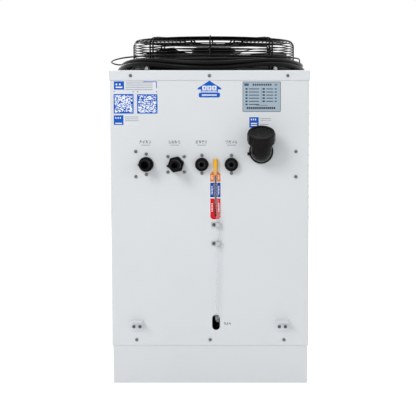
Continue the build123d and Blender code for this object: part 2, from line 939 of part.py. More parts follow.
def hose_stopper():
    """The stopper in the hose's upper end: a barb below a ribbed grip."""
    barb = hose_bore - 0.1
    top = hose_top + stopper_height
    shape = turned([
        (0, hose_top - stopper_barb), (barb - 0.8, hose_top - stopper_barb),
        (barb, hose_top - stopper_barb + 3), (barb, hose_top + seat),
        (stopper_radius - stopper_lip, hose_top + seat), (stopper_radius - stopper_lip, hose_top + 5),
        (stopper_radius, hose_top + 7), (stopper_radius, top - 2), (stopper_radius - 1.5, top), (0, top),
    ])
    return Pos(slot_x, hose_y, 0) * shape


def hose_clips():
    """Two nylon clips: a loop round the hose and a tab under a screw."""
    items = []
    for z in clip_heights:
        loop = post(hose_outer + seat + clip_strap, z - clip_width / 2, z + clip_width / 2, clip_x, hose_y)
        half = clip_width / 2 + 1
        tab = block(clip_screw_x - clip_tab, clip_x, rear_y - clip_strap, rear_y, z - half, z + half)
        loop += tab
        loop -= post(hose_outer + seat, z - 10, z + 10, clip_x, hose_y)
        items.append(bored(loop, clip_screw_places))
    return group(items)


def drain_pipe():
    """The pipe from the tank's underside to the slot, with a barb for the level hose."""
    end = level_hose_route[0][1] + seat
    points = [
        (hose_entry_x, drain_y, tank_z[0] - seat), (hose_entry_x, drain_y, hose_entry_z),
        (hose_entry_x, end, hose_entry_z),
    ]
    pipe = piped(points, [18], Circle(drain_radius))
    return pipe + bar_y(hose_bore - 0.1, end - drain_barb, end + 1, hose_entry_x, hose_entry_z)


# Brackets

def angle_bracket(x):
    """A small angle with a bolt hole in its upper leg, screwed to the panel."""
    half = bracket_width / 2
    low = rear_y - bracket_sheet
    leg = block(x - half, x + half, low, rear_y, bracket_low, bracket_top)
    leg += block(x - half, x + half, rear_y - bracket_reach, rear_y, bracket_top - bracket_sheet,
                 bracket_top)
    inner = [e for e in leg.edges().filter_by(Axis.X)
             if abs(e.center().Y - low) < 0.01 and abs(e.center().Z - bracket_top + bracket_sheet) < 0.01]
    leg = fillet(inner, bracket_fillet)
    hole_y = rear_y - bracket_reach / 2 - 2
    leg -= post(bracket_hole, bracket_top - far_past, bracket_top + far_past, x, hole_y)
    return bored(leg, bracket_screw_places)


# Tank and pumps

def tank_bracket(x, wall_x, way):
    """A folded arm from the service panel, along the tank's side and under it."""
    low = tank_z[0] - seat - bracket_plate
    face_y = rear_y + sheet
    mid = sum(tank_bracket_holes) / 2
    span = tank_bracket_holes[1] - tank_bracket_holes[0] + 2 * bracket_lap
    edge = sorted((x - way * tank_bracket_width / 2, wall_x))
    flange = block(*edge, face_y, face_y + bracket_plate, mid - span / 2, mid + span / 2)
    arm_x = sorted((wall_x, wall_x - way * bracket_plate))
    arm = block(*arm_x, face_y, tank_y[1], low, mid + span / 2)
    foot_x = sorted((wall_x - way * bracket_plate, wall_x + way * bracket_foot))
    foot = block(*foot_x, tank_y[0] + 6, tank_y[1], low, low + bracket_plate)
    return bored(flange + arm + foot, tank_screw_places)


def water_tank():
    """The water tank, a closed box with rounded upright edges."""
    tank = block(*tank_x, *tank_y, *tank_z)
    return fillet(tank.edges().filter_by(Axis.Z), tank_round)


def pump(outlet):
    """A centrifugal pump: motor, volute, foot, an outlet spigot and a suction spigot."""
    x = outlet + pump_offset
    y = rear_y - hose_plane
    shape = bar_y(pump_motor, y, y + pump_length, x, pump_z)
    shape += bar_y(pump_volute, y - volute_half, y + volute_half, x, pump_z)
    foot_low, foot_high = pump_foot
    shape += block(x - pump_motor, x + pump_motor, y + foot_low, y + foot_high, tray_sheet,
                   pump_z - pump_motor / 2)
    shape += post(stub_radius, pump_z, pump_z + spigot_rise, outlet, y)
    return shape + post(stub_radius, pump_z, pump_z + spigot_rise, x + suction_offset, y)


def outlet_hose(x):
    """The hose from a pump's outlet up to the spigot of its port."""
    y = rear_y - hose_plane
    low = pump_z + spigot_rise - spigot_lap
    high = port_z - spigot_length + spigot_lap
    return post(hose_wall, low, high, x, y) - post(stub_radius + hose_fit, low - past, high + past, x, y)


def suction_hose(outlet):
    """The hose from the tank's underside down to a pump's suction spigot."""
    x = outlet + pump_offset + suction_offset
    y = rear_y - hose_plane
    inner_y = tank_y[0] + 16
    points = [
        (x, y, pump_z + spigot_rise - spigot_lap), (x, y, hose_rise[0]), (x, inner_y, hose_rise[1]),
        (x, inner_y, tank_z[0] - seat),
    ]
    return piped(points, [hose_sweep, hose_sweep], Circle(hose_wall) - Circle(stub_radius + hose_fit))


# Cooling circuit

def compressor_foot_places():
    """The three feet round the compressor."""
    x, y = compressor_place
    around = [polar(compressor_reach, a) for a in (90, 210, 330)]
    return [(x + dx, y + dy) for dx, dy in around]


def compressor():
    """An upright compressor on a three-armed foot plate, with a domed top and terminal cover."""
    x, y = compressor_place
    low = tray_sheet + foot_rubber
    body = post(compressor_radius, low + 4, compressor_top, x, y)
    body = fillet(body.edges().group_by(Axis.Z)[-1], compressor_dome)
    plate = Pos(x, y) * Circle(compressor_radius - 8)
    for place in compressor_foot_places():
        plate += trace(Line((x, y), place), foot_arm)
    foot = Pos(0, 0, low) * extrude(plate, foot_sheet)
    cover_radius, cover_rise = terminal_cover
    return body + foot + post(cover_radius, compressor_top - 6, compressor_top + cover_rise, x, y)


def compressor_feet():
    """Three rubber feet between the compressor and the tray."""
    top = tray_sheet + foot_rubber
    return group([post(foot_rubber, tray_sheet, top, x, y) for x, y in compressor_foot_places()])


def condenser():
    """The condenser: a fin block between two end plates, with the tube's return bends."""
    x0, x1 = -condenser_half, condenser_half
    y0, y1 = condenser_y
    low = tray_sheet + seat
    wall = condenser_plate
    shape = block(x0 + wall, x1 - wall, y0 + wall, y1 - wall, low + condenser_lift, condenser_top - wall)
    for x in (x0, x1 - wall):
        shape += block(x, x + wall, y0, y1, low, condenser_top)
    mid = (y0 + y1) / 2
    reach = 2 * condenser_tube[0]
    for i in range(condenser_bends):
        z = low + bend_low + i * (condenser_top - low - bend_span) / (condenser_bends - 1)
        bend = Pos(x1, mid, z) * Rot(90, 0, 0) * Torus(*condenser_tube)
        shape += bend & block(x1 - past, x1 + reach, y0, y1, z - reach, z + reach)
    return shape


def plate_exchanger():
    """The brazed plate heat exchanger, standing on the tray."""
    x0, x1, y0, y1 = exchanger_box
    body = block(x0, x1, y0, y1, tray_sheet, exchanger_top)
    return fillet(body.edges().filter_by(Axis.Z), exchanger_round)


def discharge_pipe():
    """The copper pipe from the compressor's top to the condenser."""
    x, y = compressor_place
    x -= pipe_side
    high = compressor_top + pipe_rise[0]
    end = condenser_y[0] + condenser_plate - seat
    points = [(x, y, compressor_top + seat), (x, y, high), (x, end, high)]
    return piped(points, [pipe_bend[0]], Circle(discharge_radius))


def suction_pipe():
    """The copper pipe from the exchanger's top back to the compressor's top."""
    x, y = compressor_place
    ex = (exchanger_box[0] + exchanger_box[1]) / 2
    ey = (exchanger_box[2] + exchanger_box[3]) / 2
    high = compressor_top + pipe_rise[1]
    points = [
        (ex, ey, exchanger_top + seat), (ex, ey, high), (x + pipe_side, y, high),
        (x + pipe_side, y, compressor_top + seat),
    ]
    return piped(points, [pipe_bend[1], pipe_bend[1]], Circle(suction_radius))


def filter_drier():
    """The filter drier in the liquid line, an upright can between two pipe ends."""
    x, y = drier_place
    can = post(drier_radius, drier_low, drier_low + drier_height, x, y)
    can = fillet(can.edges().filter_by(GeomType.CIRCLE), drier_round)
    stub_radius, stub_length = drier_stub
    return can + post(stub_radius, drier_low - stub_length, drier_low + drier_height + stub_length, x, y)


def liquid_pipes():
    """The copper pipes from the condenser to the drier and from the drier to the exchanger."""
    x, y = drier_place
    section = Circle(liquid_radius)
    bend = pipe_bend[2]
    top = drier_low + drier_height + drier_stub[1] + seat
    high = top + pipe_rise[2]
    end = condenser_y[0] + condenser_plate - seat
    first = [(x, end, high), (x, y, high), (x, y, top)]
    x1 = exchanger_box[1] + seat
    ey = (exchanger_box[2] + exchanger_box[3]) / 2
    bottom = drier_low - drier_stub[1] - seat
    low = bottom - pipe_rise[2]
    second = [(x, y, bottom), (x, y, low), (x, ey, low), (x1, ey, low)]
    return [piped(first, [bend], section), piped(second, [bend, bend], section)]


def electrical_box():
    """The electrical box with its folded lid edge, held on the left panel."""
    x0 = -side_x + sheet + seat
    y0, y1 = box_y
    body = block(x0, x0 + box_depth, y0, y1, *box_z)
    lap, out = box_lip
    lip = block(x0 + box_depth - lap, x0 + box_depth + out, y0 - out, y1 + out, box_z[0] - out,
                box_z[1] + out)
    return body + lip


# Control side

def intake_grille():
    """The intake grille: a frame with a rim that seats in the panel, and slanted slats."""
    half_w = front_opening[0] / 2
    half_h = front_opening[1] / 2
    z = front_opening_z
    frame = rounded_y(2 * (half_w + grille_lap), 2 * (half_h + grille_lap), corner_round, front_y,
                      front_y + grille_front, 0, z)
    rim_w = half_w - seat
    rim_h = half_h - seat
    rim = block(-rim_w, rim_w, front_y - grille_rim, front_y + past, z - rim_h, z + rim_h)
    hole_w = rim_w - grille_wall
    hole_h = rim_h - grille_wall
    frame = frame + rim
    frame -= block(-hole_w, hole_w, front_y - grille_rim - past, front_y + grille_rim, z - hole_h, z + hole_h)
    step = 2 * hole_h / (grille_slats + 1)
    slat = Rot(slat_tilt, 0, 0) * Box(2 * hole_w + 2, slat_depth, slat_sheet)
    slats = [Pos(0, front_y - 3, z - hole_h + step * (i + 1)) * slat for i in range(grille_slats)]
    return frame.fuse(*slats)


def dust_filter():
    """The dust filter behind the grille: a border with a thin mesh, drawn as a sheet."""
    half_w = front_opening[0] / 2 - 1
    half_h = front_opening[1] / 2 - 1
    y1 = front_y - grille_rim - seat
    y0 = y1 - filter_depth
    mid = (y0 + y1) / 2
    z = front_opening_z
    frame = block(-half_w, half_w, y0, y1, z - half_h, z + half_h)
    half_w -= filter_border
    half_h -= filter_border
    for a, b in ((y0 - past, mid - filter_mesh / 2), (mid + filter_mesh / 2, y1 + past)):
        frame -= block(-half_w, half_w, a, b, z - half_h, z + half_h)
    return frame


def bezel():
    """The plate that frames the controller and the switch."""
    plate = rounded_y(*bezel_size, corner_round, front_y, front_y + bezel_sheet, 0, control_z)
    plate = chamfer(plate.edges().group_by(Axis.Y)[-1], bezel_chamfer)
    low = front_y - far_past
    high = front_y + bezel_sheet + far_past
    plate -= opening_for(controller_body, controller_x, low, high)
    return plate - opening_for(switch_body, switch_x, low, high)


def button_places():
    """The buttons' middles, in a row below the display."""
    first = controller_x - button_pitch * (button_count - 1) / 2
    return [(first + i * button_pitch, control_z - button_drop) for i in range(button_count)]


def controller():
    """The controller: a face with a sunk display window, button pockets and a body behind."""
    face_y = front_y + bezel_sheet
    out_y = face_y + controller_proud
    shape = rounded_y(*controller_face, controller_round, face_y, out_y, controller_x, control_z)
    half_w = controller_body[0] / 2
    half_h = controller_body[1] / 2
    shape += block(controller_x - half_w, controller_x + half_w, face_y - controller_depth, face_y + past,
                   control_z - half_h, control_z + half_h)
    low, high = window_rise
    half = window_half
    shape -= block(controller_x - half, controller_x + half, out_y - window_depth, out_y + past,
                   control_z + low, control_z + high)
    for x, z in button_places():
        w = button_size[0] / 2 + button_gap
        h = button_size[1] / 2 + button_gap
        shape -= block(x - w, x + w, out_y - button_depth - past, out_y + past, z - h, z + h)
    return shape


def button(index):
    """One key of the controller."""
    x, z = button_places()[index]
    out_y = front_y + bezel_sheet + controller_proud
    w = button_size[0] / 2
    h = button_size[1] / 2
    key = block(x - w, x + w, out_y - button_depth, out_y + button_proud, z - h, z + h)
    return chamfer(key.edges().group_by(Axis.Y)[-1], button_chamfer)


def switch_housing():
    """The power switch's housing, with a pocket for the rocker and the holes of its pin."""
    face_y = front_y + bezel_sheet
    shape = rounded_y(*switch_face, switch_round, face_y, face_y + switch_sheet, switch_x, control_z)
    half_w = switch_body[0] / 2
    half_h = switch_body[1] / 2
    shape += block(switch_x - half_w, switch_x + half_w, face_y - switch_depth, face_y + past,
                   control_z - half_h, control_z + half_h)
    pocket_w = rocker_size[0] / 2 + button_gap
    pocket_h = rocker_size[1] / 2 + switch_pocket[0]
    shape -= block(switch_x - pocket_w, switch_x + pocket_w, face_y - switch_pocket[1], face_y + far_past,
                   control_z - pocket_h, control_z + pocket_h)
    pin = rocker_size[0] / 2 + pin_lap
    return shape - bar_x(rocker_pin + 0.05, switch_x - pin, switch_x + pin, rocker_y, control_z)


def power_rocker():
    """The rocker: a shallow vee that tips about its pin."""
    half = rocker_size[1] / 2
    middle, end = rocker_high
    outline = Polygon((-half, rocker_low), (half, rocker_low), (half, end), (0, middle), (-half, end),
                      align=None)
    shape = extrude(Plane.YZ * outline, rocker_size[0] / 2, both=True)
    pin_half = rocker_size[0] / 2 + pin_lap - 0.4
    shape += bar_x(rocker_pin, -pin_half, pin_half, 0, 0)
    return Pos(switch_x, rocker_y, control_z) * Rot(-90 + rocker_tilt, 0, 0) * shape


# Cables on the lid

def power_gland():
    """An elbow gland: hexagon on the lid, a turret and an outlet that tapers to the cable."""
    x, y = power_gland_place
    z = lid_top + gland_height
    hex_radius, hex_height = power_gland_hex
    arm, reach = power_gland_arm
    nut, nut_width = power_gland_nut
    shape = Pos(x, y, lid_top + seat) * extrude(RegularPolygon(hex_radius, 6), hex_height)
    shape += post(power_gland_thread, lid_top - gland_below, lid_top + seat + past, x, y)
    shape += post(power_gland_turret, lid_top + hex_height - past, z + 4, x, y)
    shape += bar_x(arm, x - reach, x, y, z)
    shape += Pos(x - reach, y, z) * Rot(0, -90, 0) * extrude(RegularPolygon(nut, 6), nut_width)
    taper = Cone(arm, power_wire / 2 + relief_wall, gland_taper)
    return shape + Pos(x - reach - nut_width - gland_taper / 2, y, z) * Rot(0, -90, 0) * taper


def signal_gland():
    """A small elbow gland whose outlet points along -Y."""
    x, y = signal_gland_place
    z = lid_top + signal_gland_height
    hex_radius, hex_height = signal_gland_hex
    arm, reach = signal_gland_arm
    wide, wall, length = signal_gland_taper
    shape = Pos(x, y, lid_top + seat) * extrude(RegularPolygon(hex_radius, 6), hex_height)
    shape += post(signal_gland_thread, lid_top - gland_below, lid_top + seat + past, x, y)
    shape += post(signal_gland_turret, lid_top + hex_height - past, z + 3, x, y)
    shape += bar_y(arm, y - reach, y, x, z)
    taper = Cone(wide, signal_wire / 2 + wall, length)
    return shape + Pos(x, y - reach - length / 2, z) * Rot(90, 0, 0) * taper


def power_coil():
    """The loose coil of power cable round the guard, as its outer shape."""
    low = lid_top + seat
    section = Polygon(
        (coil_inner, low), (coil_outer - 6, low), (coil_outer, low + 7), (coil_outer, low + coil_height - 12),
        (coil_outer - 9, low + coil_height), (coil_inner, low + coil_height), align=None,
    )
    coil = Pos(coil_centre_x, 0, 0) * revolve(Plane.XZ * section, Axis.Z)
    reach = foot_radius + arm_gap / 2 + notch_end
    notch = block(0, reach, -notch_half, notch_half, lid_top, lid_top + notch_height)
    for i in range(4):
        coil -= Rot(0, 0, 45 + 90 * i) * notch
    return coil


# The routes that the free cables follow
power_lead_route = [(164, 222, 782), (143, 222, 782), (121, 223.6, 781), (100, 223, 779.6)]
power_tail_route = [(-92, 223, 781), (-111, 225.4, 783), (-131, 226, 785.3), (-150, 226, 785.3)]
signal_route = [
    (228, 164, 775), (228, 146, 775), (231, 124, 779), (233, 100, 794), (232, 76, 805.5),
    (229, 46, 806), (228, 14, 804), (226, -30, 803.2), (217, -76, 803), (196, -120, 803),
    (163, -160, 803), (122, -192, 803.2), (74, -216, 803), (24, -228, 803), (-26, -230, 803.2),
    (-76, -222, 803.5), (-118, -203, 804), (-152, -176, 804.5), (-186, -150, 804),
    (-222, -120, 802.5), (-250, -84, 799), (-267, -40, 796), (-270, 8, 793), (-260, 50, 790.5),
    (-245, 84, 794), (-229, 110, 803.5), (-210, 133, 806), (-190, 152, 807), (-173, 168, 807.6),
]


def route_radii(points):
    """The radius at each corner of a cord's route: as large as its two runs allow."""
    radii = []
    for before, here, after in zip(points, points[1:], points[2:]):
        way_in = Vector(*here) - Vector(*before)
        way_out = Vector(*after) - Vector(*here)
        half_turn = math.radians(way_in.get_angle(way_out)) / 2
        radii.append(0.45 * min(way_in.length, way_out.length) / math.tan(half_turn))
    return radii


def cord_tube(name, points, diameter):
    """A cord's round tube along its route, with its radii and volume printed."""
    radii = route_radii(points)
    tube = piped(points, radii, Circle(diameter / 2))
    length = FilletPolyline(*points, radius=radii).length
    share = tube.volume / (length * math.pi * diameter ** 2 / 4)
    print(name, "length", round(length), "smallest radius", round(min(radii)), "volume share", round(share, 4))
    return tube


def power_plug():
    """A three-pin plug lying on the lid, its tapered relief towards the cable."""
    x, y, z = power_tail_route[-1]
    wide, length = plug_relief
    relief = Pos(x - length / 2, y, z) * Rot(0, -90, 0) * Cone(power_wire / 2 + relief_wall, wide, length)
    near = x - length + past
    far = near - plug_length
    body = fillet(bar_x(plug_radius, far, near, y, z).edges().filter_by(GeomType.CIRCLE), plug_round)
    shape = relief + body
    pin_radius, pin_length = plug_pin
    for a in (90, 210, 330):
        dy, dz = polar(plug_pin_circle, a)
        shape += bar_x(pin_radius, far - pin_length, far + past, y + dy, z + dz)
    return shape


def signal_connector():
    """A small round connector on the end of the signal cable, lying on the coil."""
    end = Vector(*signal_route[-1])
    way = (end - Vector(*signal_route[-2])).normalized()
    plane = Plane(origin=end, z_dir=way)
    first, *others = [post(radius, low, high) for radius, low, high in connector_steps]
    return plane * first.fuse(*others)


water_outlets = (outlet_x, push_x[0])
copper = [discharge_pipe(), suction_pipe()] + liquid_pipes()
hoses = [outlet_hose(x) for x in water_outlets] + [suction_hose(x) for x in water_outlets]
left_wall = tank_x[0] - seat
right_wall = tank_x[1] + seat

nodes = {
    "base_tray": base_tray(),
    "corner_posts": group([corner_post(sx, sy) for sx in (-1, 1) for sy in (-1, 1)]),
    "rear_panel": rear_panel(),
    "front_panel": front_panel(),
    "left_panel": side_panel(-1),
    "right_panel": side_panel(1),
    "lid": top_lid(),
    "panel_screws": group([screw_at(*p) for p in panel_screw_places]),
    "fitting_screws": group([screw_at(*p) for p in fitting_screw_places]),
    "fan_guard": fan_guard(),
    "guard_bolts": guard_bolts(),
    "motor_stator": motor_stator(),
    "motor_bearings": motor_bearings(),
    "rotor_can": rotor_can(),
    "fan_impeller": fan_impeller(),
    "outlet_port": outlet_port(),
    "outlet_nut": outlet_nut(),
    "inlet_port": inlet_port(),
    "inlet_nut": inlet_nut(),
    "push_port_out": push_port(push_x[0], elbow_stub()),
    "push_port_in": push_port(push_x[1], return_stub()),
    "collet_out": collet(push_x[0]),
    "collet_in": collet(push_x[1]),
    "filler_neck": filler_neck(),
    "filler_cap": filler_cap(),
    "cap_seal": cap_seal(),
    "level_hose": level_hose(),
    "hose_stopper": hose_stopper(),
    "hose_clips": hose_clips(),
    "drain_pipe": drain_pipe(),
    "angle_brackets": group([angle_bracket(x) for x in bracket_x]),
    "water_tank": water_tank(),
    "tank_brackets": group([
        tank_bracket(tank_bracket_x[0], left_wall, 1), tank_bracket(tank_bracket_x[1], right_wall, -1),
    ]),
    "pumps": group([pump(x) for x in water_outlets]),
    "water_hoses": group(hoses),
    "compressor": compressor(),
    "compressor_feet": compressor_feet(),
    "condenser": condenser(),
    "plate_exchanger": plate_exchanger(),
    "copper_pipes": group(copper),
    "filter_drier": filter_drier(),
    "electrical_box": electrical_box(),
    "intake_grille": intake_grille(),
    "dust_filter": dust_filter(),
    "control_bezel": bezel(),
    "controller": controller(),
    "switch_housing": switch_housing(),
    "power_rocker": power_rocker(),
    "power_gland": power_gland(),
    "power_coil": power_coil(),
    "power_lead": cord_tube("power_lead", power_lead_route, power_wire),
    "power_tail": cord_tube("power_tail", power_tail_route, power_wire),
    "power_plug": power_plug(),
    "signal_gland": signal_gland(),
    "signal_cable": cord_tube("signal_cable", signal_route, signal_wire),
    "signal_connector": signal_connector(),
}
for i in range(button_count):
    nodes[f"button_{i + 1}"] = button(i)

os.makedirs("parts", exist_ok=True)
for name, shape in nodes.items():
    export_step(shape, f"parts/{name}.step")
print(len(nodes), "nodes")
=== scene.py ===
import math

import bpy
from mathutils import Matrix, Vector


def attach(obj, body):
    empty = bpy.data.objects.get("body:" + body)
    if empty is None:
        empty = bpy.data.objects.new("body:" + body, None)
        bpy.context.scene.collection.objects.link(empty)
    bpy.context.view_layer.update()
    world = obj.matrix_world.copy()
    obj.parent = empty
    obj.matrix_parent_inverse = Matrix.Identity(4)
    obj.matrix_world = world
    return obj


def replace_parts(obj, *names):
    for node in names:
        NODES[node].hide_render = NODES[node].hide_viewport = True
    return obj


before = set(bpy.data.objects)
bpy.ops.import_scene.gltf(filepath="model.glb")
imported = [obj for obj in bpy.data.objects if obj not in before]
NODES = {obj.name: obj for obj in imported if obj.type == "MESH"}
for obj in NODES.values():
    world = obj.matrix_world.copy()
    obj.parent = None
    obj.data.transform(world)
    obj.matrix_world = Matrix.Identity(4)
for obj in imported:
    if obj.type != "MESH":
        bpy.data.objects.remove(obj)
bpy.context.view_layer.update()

# Recirculating chiller, seen from its service side. Sizes are in millimetres and turned into metres
# by MM. The service panel faces -Y, the lid's top is LID and the floor is z = 0.
bpy.ops.object.select_all(action="DESELECT")

MM = 0.001
LID = 766
PANEL_Y = -250
BODY = "chiller"

# Camera: where the photographer stood, and how the frame was cropped
CAMERA_AT = (110, -2650, 681)
CAMERA_PITCH = 3.75
CAMERA_LENS = 85.8
CAMERA_SHIFT = (-0.113, -0.090)

# Cables
POWER_WIRE = 10.5
SIGNAL_WIRE = 4
COIL_X = -5
POWER_LEAD = [(164, 222, 782), (143, 222, 782), (121, 223.6, 781), (100, 223, 779.6)]
POWER_TAIL = [(-92, 223, 781), (-111, 225.4, 783), (-131, 226, 785.3), (-150, 226, 785.3)]
SIGNAL_ROUTE = [
    (228, 164, 775), (228, 146, 775), (231, 124, 779), (233, 100, 794), (232, 76, 805.5),
    (229, 46, 806), (228, 14, 804), (226, -30, 803.2), (217, -76, 803), (196, -120, 803),
    (163, -160, 803), (122, -192, 803.2), (74, -216, 803), (24, -228, 803), (-26, -230, 803.2),
    (-76, -222, 803.5), (-118, -203, 804), (-152, -176, 804.5), (-186, -150, 804),
    (-222, -120, 802.5), (-250, -84, 799), (-267, -40, 796), (-270, 8, 793), (-260, 50, 790.5),
    (-245, 84, 794), (-229, 110, 803.5), (-210, 133, 806), (-190, 152, 807), (-173, 168, 807.6),
]

# The coil's cross-section at eight places round the guard: radius and height of each place in the bundle
COIL_STATIONS = (88, 135, 180, 225, 270, 315, 360, 405)
COIL_PLACES = {
    "top": [(234, 791), (232, 804), (231, 791), (232, 804), (233, 803), (232, 803), (232, 794), (232, 803)],
    "outer_high": [(240, 782), (243, 794), (238, 781.5), (243, 794), (243.5, 783.5), (243, 794), (239, 785),
                   (242, 794)],
    "inner_high": [(229, 782), (232, 794.5), (226, 781.5), (232, 794.5), (234, 793.5), (232, 794.5),
                   (227, 784.5), (232, 794.5)],
    "inner_low": [(224.5, 772), (226.5, 785), (220.5, 772), (226.5, 785), (226.5, 772), (227, 785),
                  (223.8, 772), (227, 785)],
    "middle_low": [(234.8, 772.6), (237.5, 785), (232, 772), (237.5, 785), (230, 782.8), (237.5, 785),
                   (233.8, 775), (237.5, 785)],
    "outer_low": [(245, 772), (243.5, 772), (243.7, 772), (248, 785), (242, 772.5), (248, 785),
                  (243.7, 772), (244, 772)],
}
COIL_ORDER = ("top", "outer_high", "inner_high", "inner_low", "middle_low", "outer_low")
COIL_SHIFTS = (165, 510, 855, 1200, 1545)
SHIFT_LENGTH = 40
COIL_FROM = 80
COIL_TO = 1905
COIL_STEP = 15


# Materials: sockets that can be added, multiplied and compared in Python

class Value:
    """One output socket, on which arithmetic adds Math nodes."""

    def __init__(self, finish, socket):
        self.finish = finish
        self.socket = socket

    def math(self, operation, *values):
        return self.finish.node("ShaderNodeMath", {"operation": operation}, *values)

    def __add__(self, other):
        return self.math("ADD", self, other)

    __radd__ = __add__

    def __sub__(self, other):
        return self.math("SUBTRACT", self, other)

    def __rsub__(self, other):
        return self.math("SUBTRACT", other, self)

    def __mul__(self, other):
        return self.math("MULTIPLY", self, other)

    __rmul__ = __mul__

    def __truediv__(self, other):
        return self.math("DIVIDE", self, other)

    def __mod__(self, other):
        return self.math("FLOORED_MODULO", self, other)

    def __pow__(self, other):
        return self.math("POWER", self, other)

    def __gt__(self, other):
        return self.math("GREATER_THAN", self, other)

    def __lt__(self, other):
        return self.math("LESS_THAN", self, other)

    def __abs__(self):
        return self.math("ABSOLUTE", self)

    def floor(self):
        return self.math("FLOOR", self)


class Finish:
    """A material under construction, with the object's own coordinates in millimetres."""

    def __init__(self, name):
        self.material = bpy.data.materials.new(name)
        self.material.use_nodes = True
        self.tree = self.material.node_tree
        self.shader = self.tree.nodes["Principled BSDF"]
        place = self.tree.nodes.new("ShaderNodeTexCoord")
        self.place = Value(self, place.outputs["Object"])
        self.mm = self.node("ShaderNodeVectorMath", {"operation": "SCALE"}, self.place, Scale=1 / MM)

    def node(self, kind, settings, *values, out=0, **named):
        """Adds a node, its settings first, then its sockets' values or links."""
        made = self.tree.nodes.new(kind)
        for key, value in settings.items():
            setattr(made, key, value)
        for key, value in [*enumerate(values), *named.items()]:
            self.feed(made.inputs[key.replace("_", " ") if isinstance(key, str) else key], value)
        return Value(self, made.outputs[out])

    def feed(self, socket, value):
        if isinstance(value, Value):
            self.tree.links.new(value.socket, socket)
        else:
            socket.default_value = value

    def axes(self):
        parts = self.node("ShaderNodeSeparateXYZ", {}, self.mm).socket.node
        return [Value(self, socket) for socket in parts.outputs]

    def noise(self, size, detail=2.0):
        """Noise from 0 to 1 whose blotches are about that many millimetres across."""
        scaled = self.node("ShaderNodeVectorMath", {"operation": "MULTIPLY"}, self.mm, (1 / size,) * 3)
        return self.node("ShaderNodeTexNoise", {}, scaled, Scale=1.0, Detail=detail)

    def mix(self, factor, first, second):
        """A colour between two colours."""
        made = self.tree.nodes.new("ShaderNodeMix")
        made.data_type = "RGBA"
        for socket, value in ((0, factor), (6, first), (7, second)):
            self.feed(made.inputs[socket], value)
        return Value(self, made.outputs[2])

    def bump(self, height, strength, distance):
        """Relief of that many millimetres."""
        made = self.node("ShaderNodeBump", {}, strength, distance * MM, Height=height)
        self.set(Normal=made)

    def set(self, **values):
        for name, value in values.items():
            self.feed(self.shader.inputs[name.replace("_", " ")], value)
        return self


def rgb(red, green, blue):
    """A colour from the 0 to 255 values that an eye dropper shows."""
    linear = [((v / 255 + 0.055) / 1.055) ** 2.4 if v > 10 else v / 3294.6 for v in (red, green, blue)]
    return (*linear, 1.0)


def shade(colour, by):
    """A lighter or darker tone of a colour."""
    return tuple(min(1.0, c * by) for c in colour[:3]) + (1.0,)


def powder_coat(name, colour, roughness=0.42):
    """Sprayed and baked paint: orange peel and a faint change of tone."""
    finish = Finish(name)
    drift = finish.noise(220)
    finish.set(
        Base_Color=finish.mix(drift, shade(colour, 0.965), shade(colour, 1.02)),
        Roughness=finish.noise(9) * 0.10 + (roughness - 0.05),
        Coat_Weight=0.08,
        Coat_Roughness=0.25,
    )
    finish.bump(finish.noise(1.1, 3.0), 0.25, 0.05)
    return finish.material


def moulded(name, colour, roughness=0.45, grain=0.6, relief=0.04, shine=0.5):
    """Moulded plastic with a fine spark-eroded grain and handling marks."""
    finish = Finish(name)
    wear = finish.noise(24, 4.0)
    finish.set(
        Base_Color=finish.mix(wear, shade(colour, 0.86), shade(colour, 1.16)),
        Roughness=finish.noise(6, 3.0) * 0.16 + (roughness - 0.08),
        Specular_IOR_Level=shine,
    )
    finish.bump(finish.noise(grain, 2.0), 0.3, relief)
    return finish.material


def metal(name, colour, roughness, grain):
    """Bare or plated metal, its crystals about that many millimetres across."""
    finish = Finish(name)
    crystals = finish.noise(grain, 3.0)
    finish.set(
        Metallic=1.0,
        Base_Color=finish.mix(finish.noise(30, 3.0), shade(colour, 0.88), shade(colour, 1.06)),
        Roughness=crystals * 0.18 + (roughness - 0.09),
    )
    finish.bump(crystals, 0.15, 0.02)
    return finish.material


def coated_wire(name):
    """Black epoxy on wire and sheet, with thin spots that shine."""
    finish = Finish(name)
    finish.set(
        Base_Color=finish.mix(finish.noise(14, 4.0), rgb(8, 8, 9), rgb(16, 16, 18)),
        Roughness=finish.noise(5, 3.0) * 0.2 + 0.22,
        Specular_IOR_Level=0.08,
    )
    finish.bump(finish.noise(1.4, 3.0), 0.3, 0.05)
    return finish.material


def sheath(name, colour, roughness):
    """A cable's extruded sheath: faint drawing lines and a little dust."""
    finish = Finish(name)
    finish.set(
        Base_Color=finish.mix(finish.noise(18, 4.0), shade(colour, 0.8), shade(colour, 1.35)),
        Roughness=finish.noise(7, 3.0) * 0.2 + (roughness - 0.1),
        Specular_IOR_Level=0.1,
    )
    finish.bump(finish.noise(0.9, 2.0), 0.2, 0.04)
    return finish.material


def clear_tube(name):
    """Soft clear tube: seen through in the middle, pale where the wall is seen edge on, partly from the
    thicker wall and partly as a painted reflection of the white surroundings.
    """
    finish = Finish(name)
    edge = finish.node("ShaderNodeLayerWeight", {}, 0.5, out=1)
    finish.set(
        # The white colour, shown more strongly at the edges, is partly painted reflection of the white
        # surroundings and partly the wall seen edge on.
        Base_Color=finish.mix(finish.noise(16, 3.0), rgb(236, 240, 240), rgb(250, 252, 252)),
        Roughness=finish.noise(9, 2.0) * 0.04 + 0.08,
        Alpha=edge ** 2.5 * 0.5 + 0.04,
    )
    return finish.material


def stacked_fins(name):
    """A condenser's fin pack: thin sheets side by side with rows of tubes behind, and painted shade in the
    narrow gaps between the sheets.
    """
    finish = Finish(name)
    x, y, z = finish.axes()
    shaded_gap = (x % 2.0) < 0.7
    tube = abs((z % 24.0) - 12.0) < 4.0
    # The gaps between the fins are painted dark grey: painted shade in the narrow recesses, not a colour of
    # the metal.
    tone = finish.mix(shaded_gap, rgb(190, 192, 194), rgb(48, 50, 52))
    finish.set(
        Base_Color=finish.mix(tube * shaded_gap, tone, rgb(150, 96, 66)),
        Roughness=finish.noise(8) * 0.2 + 0.3,
        Metallic=0.9,
    )
    finish.bump(shaded_gap, 0.5, 0.5)
    return finish.material


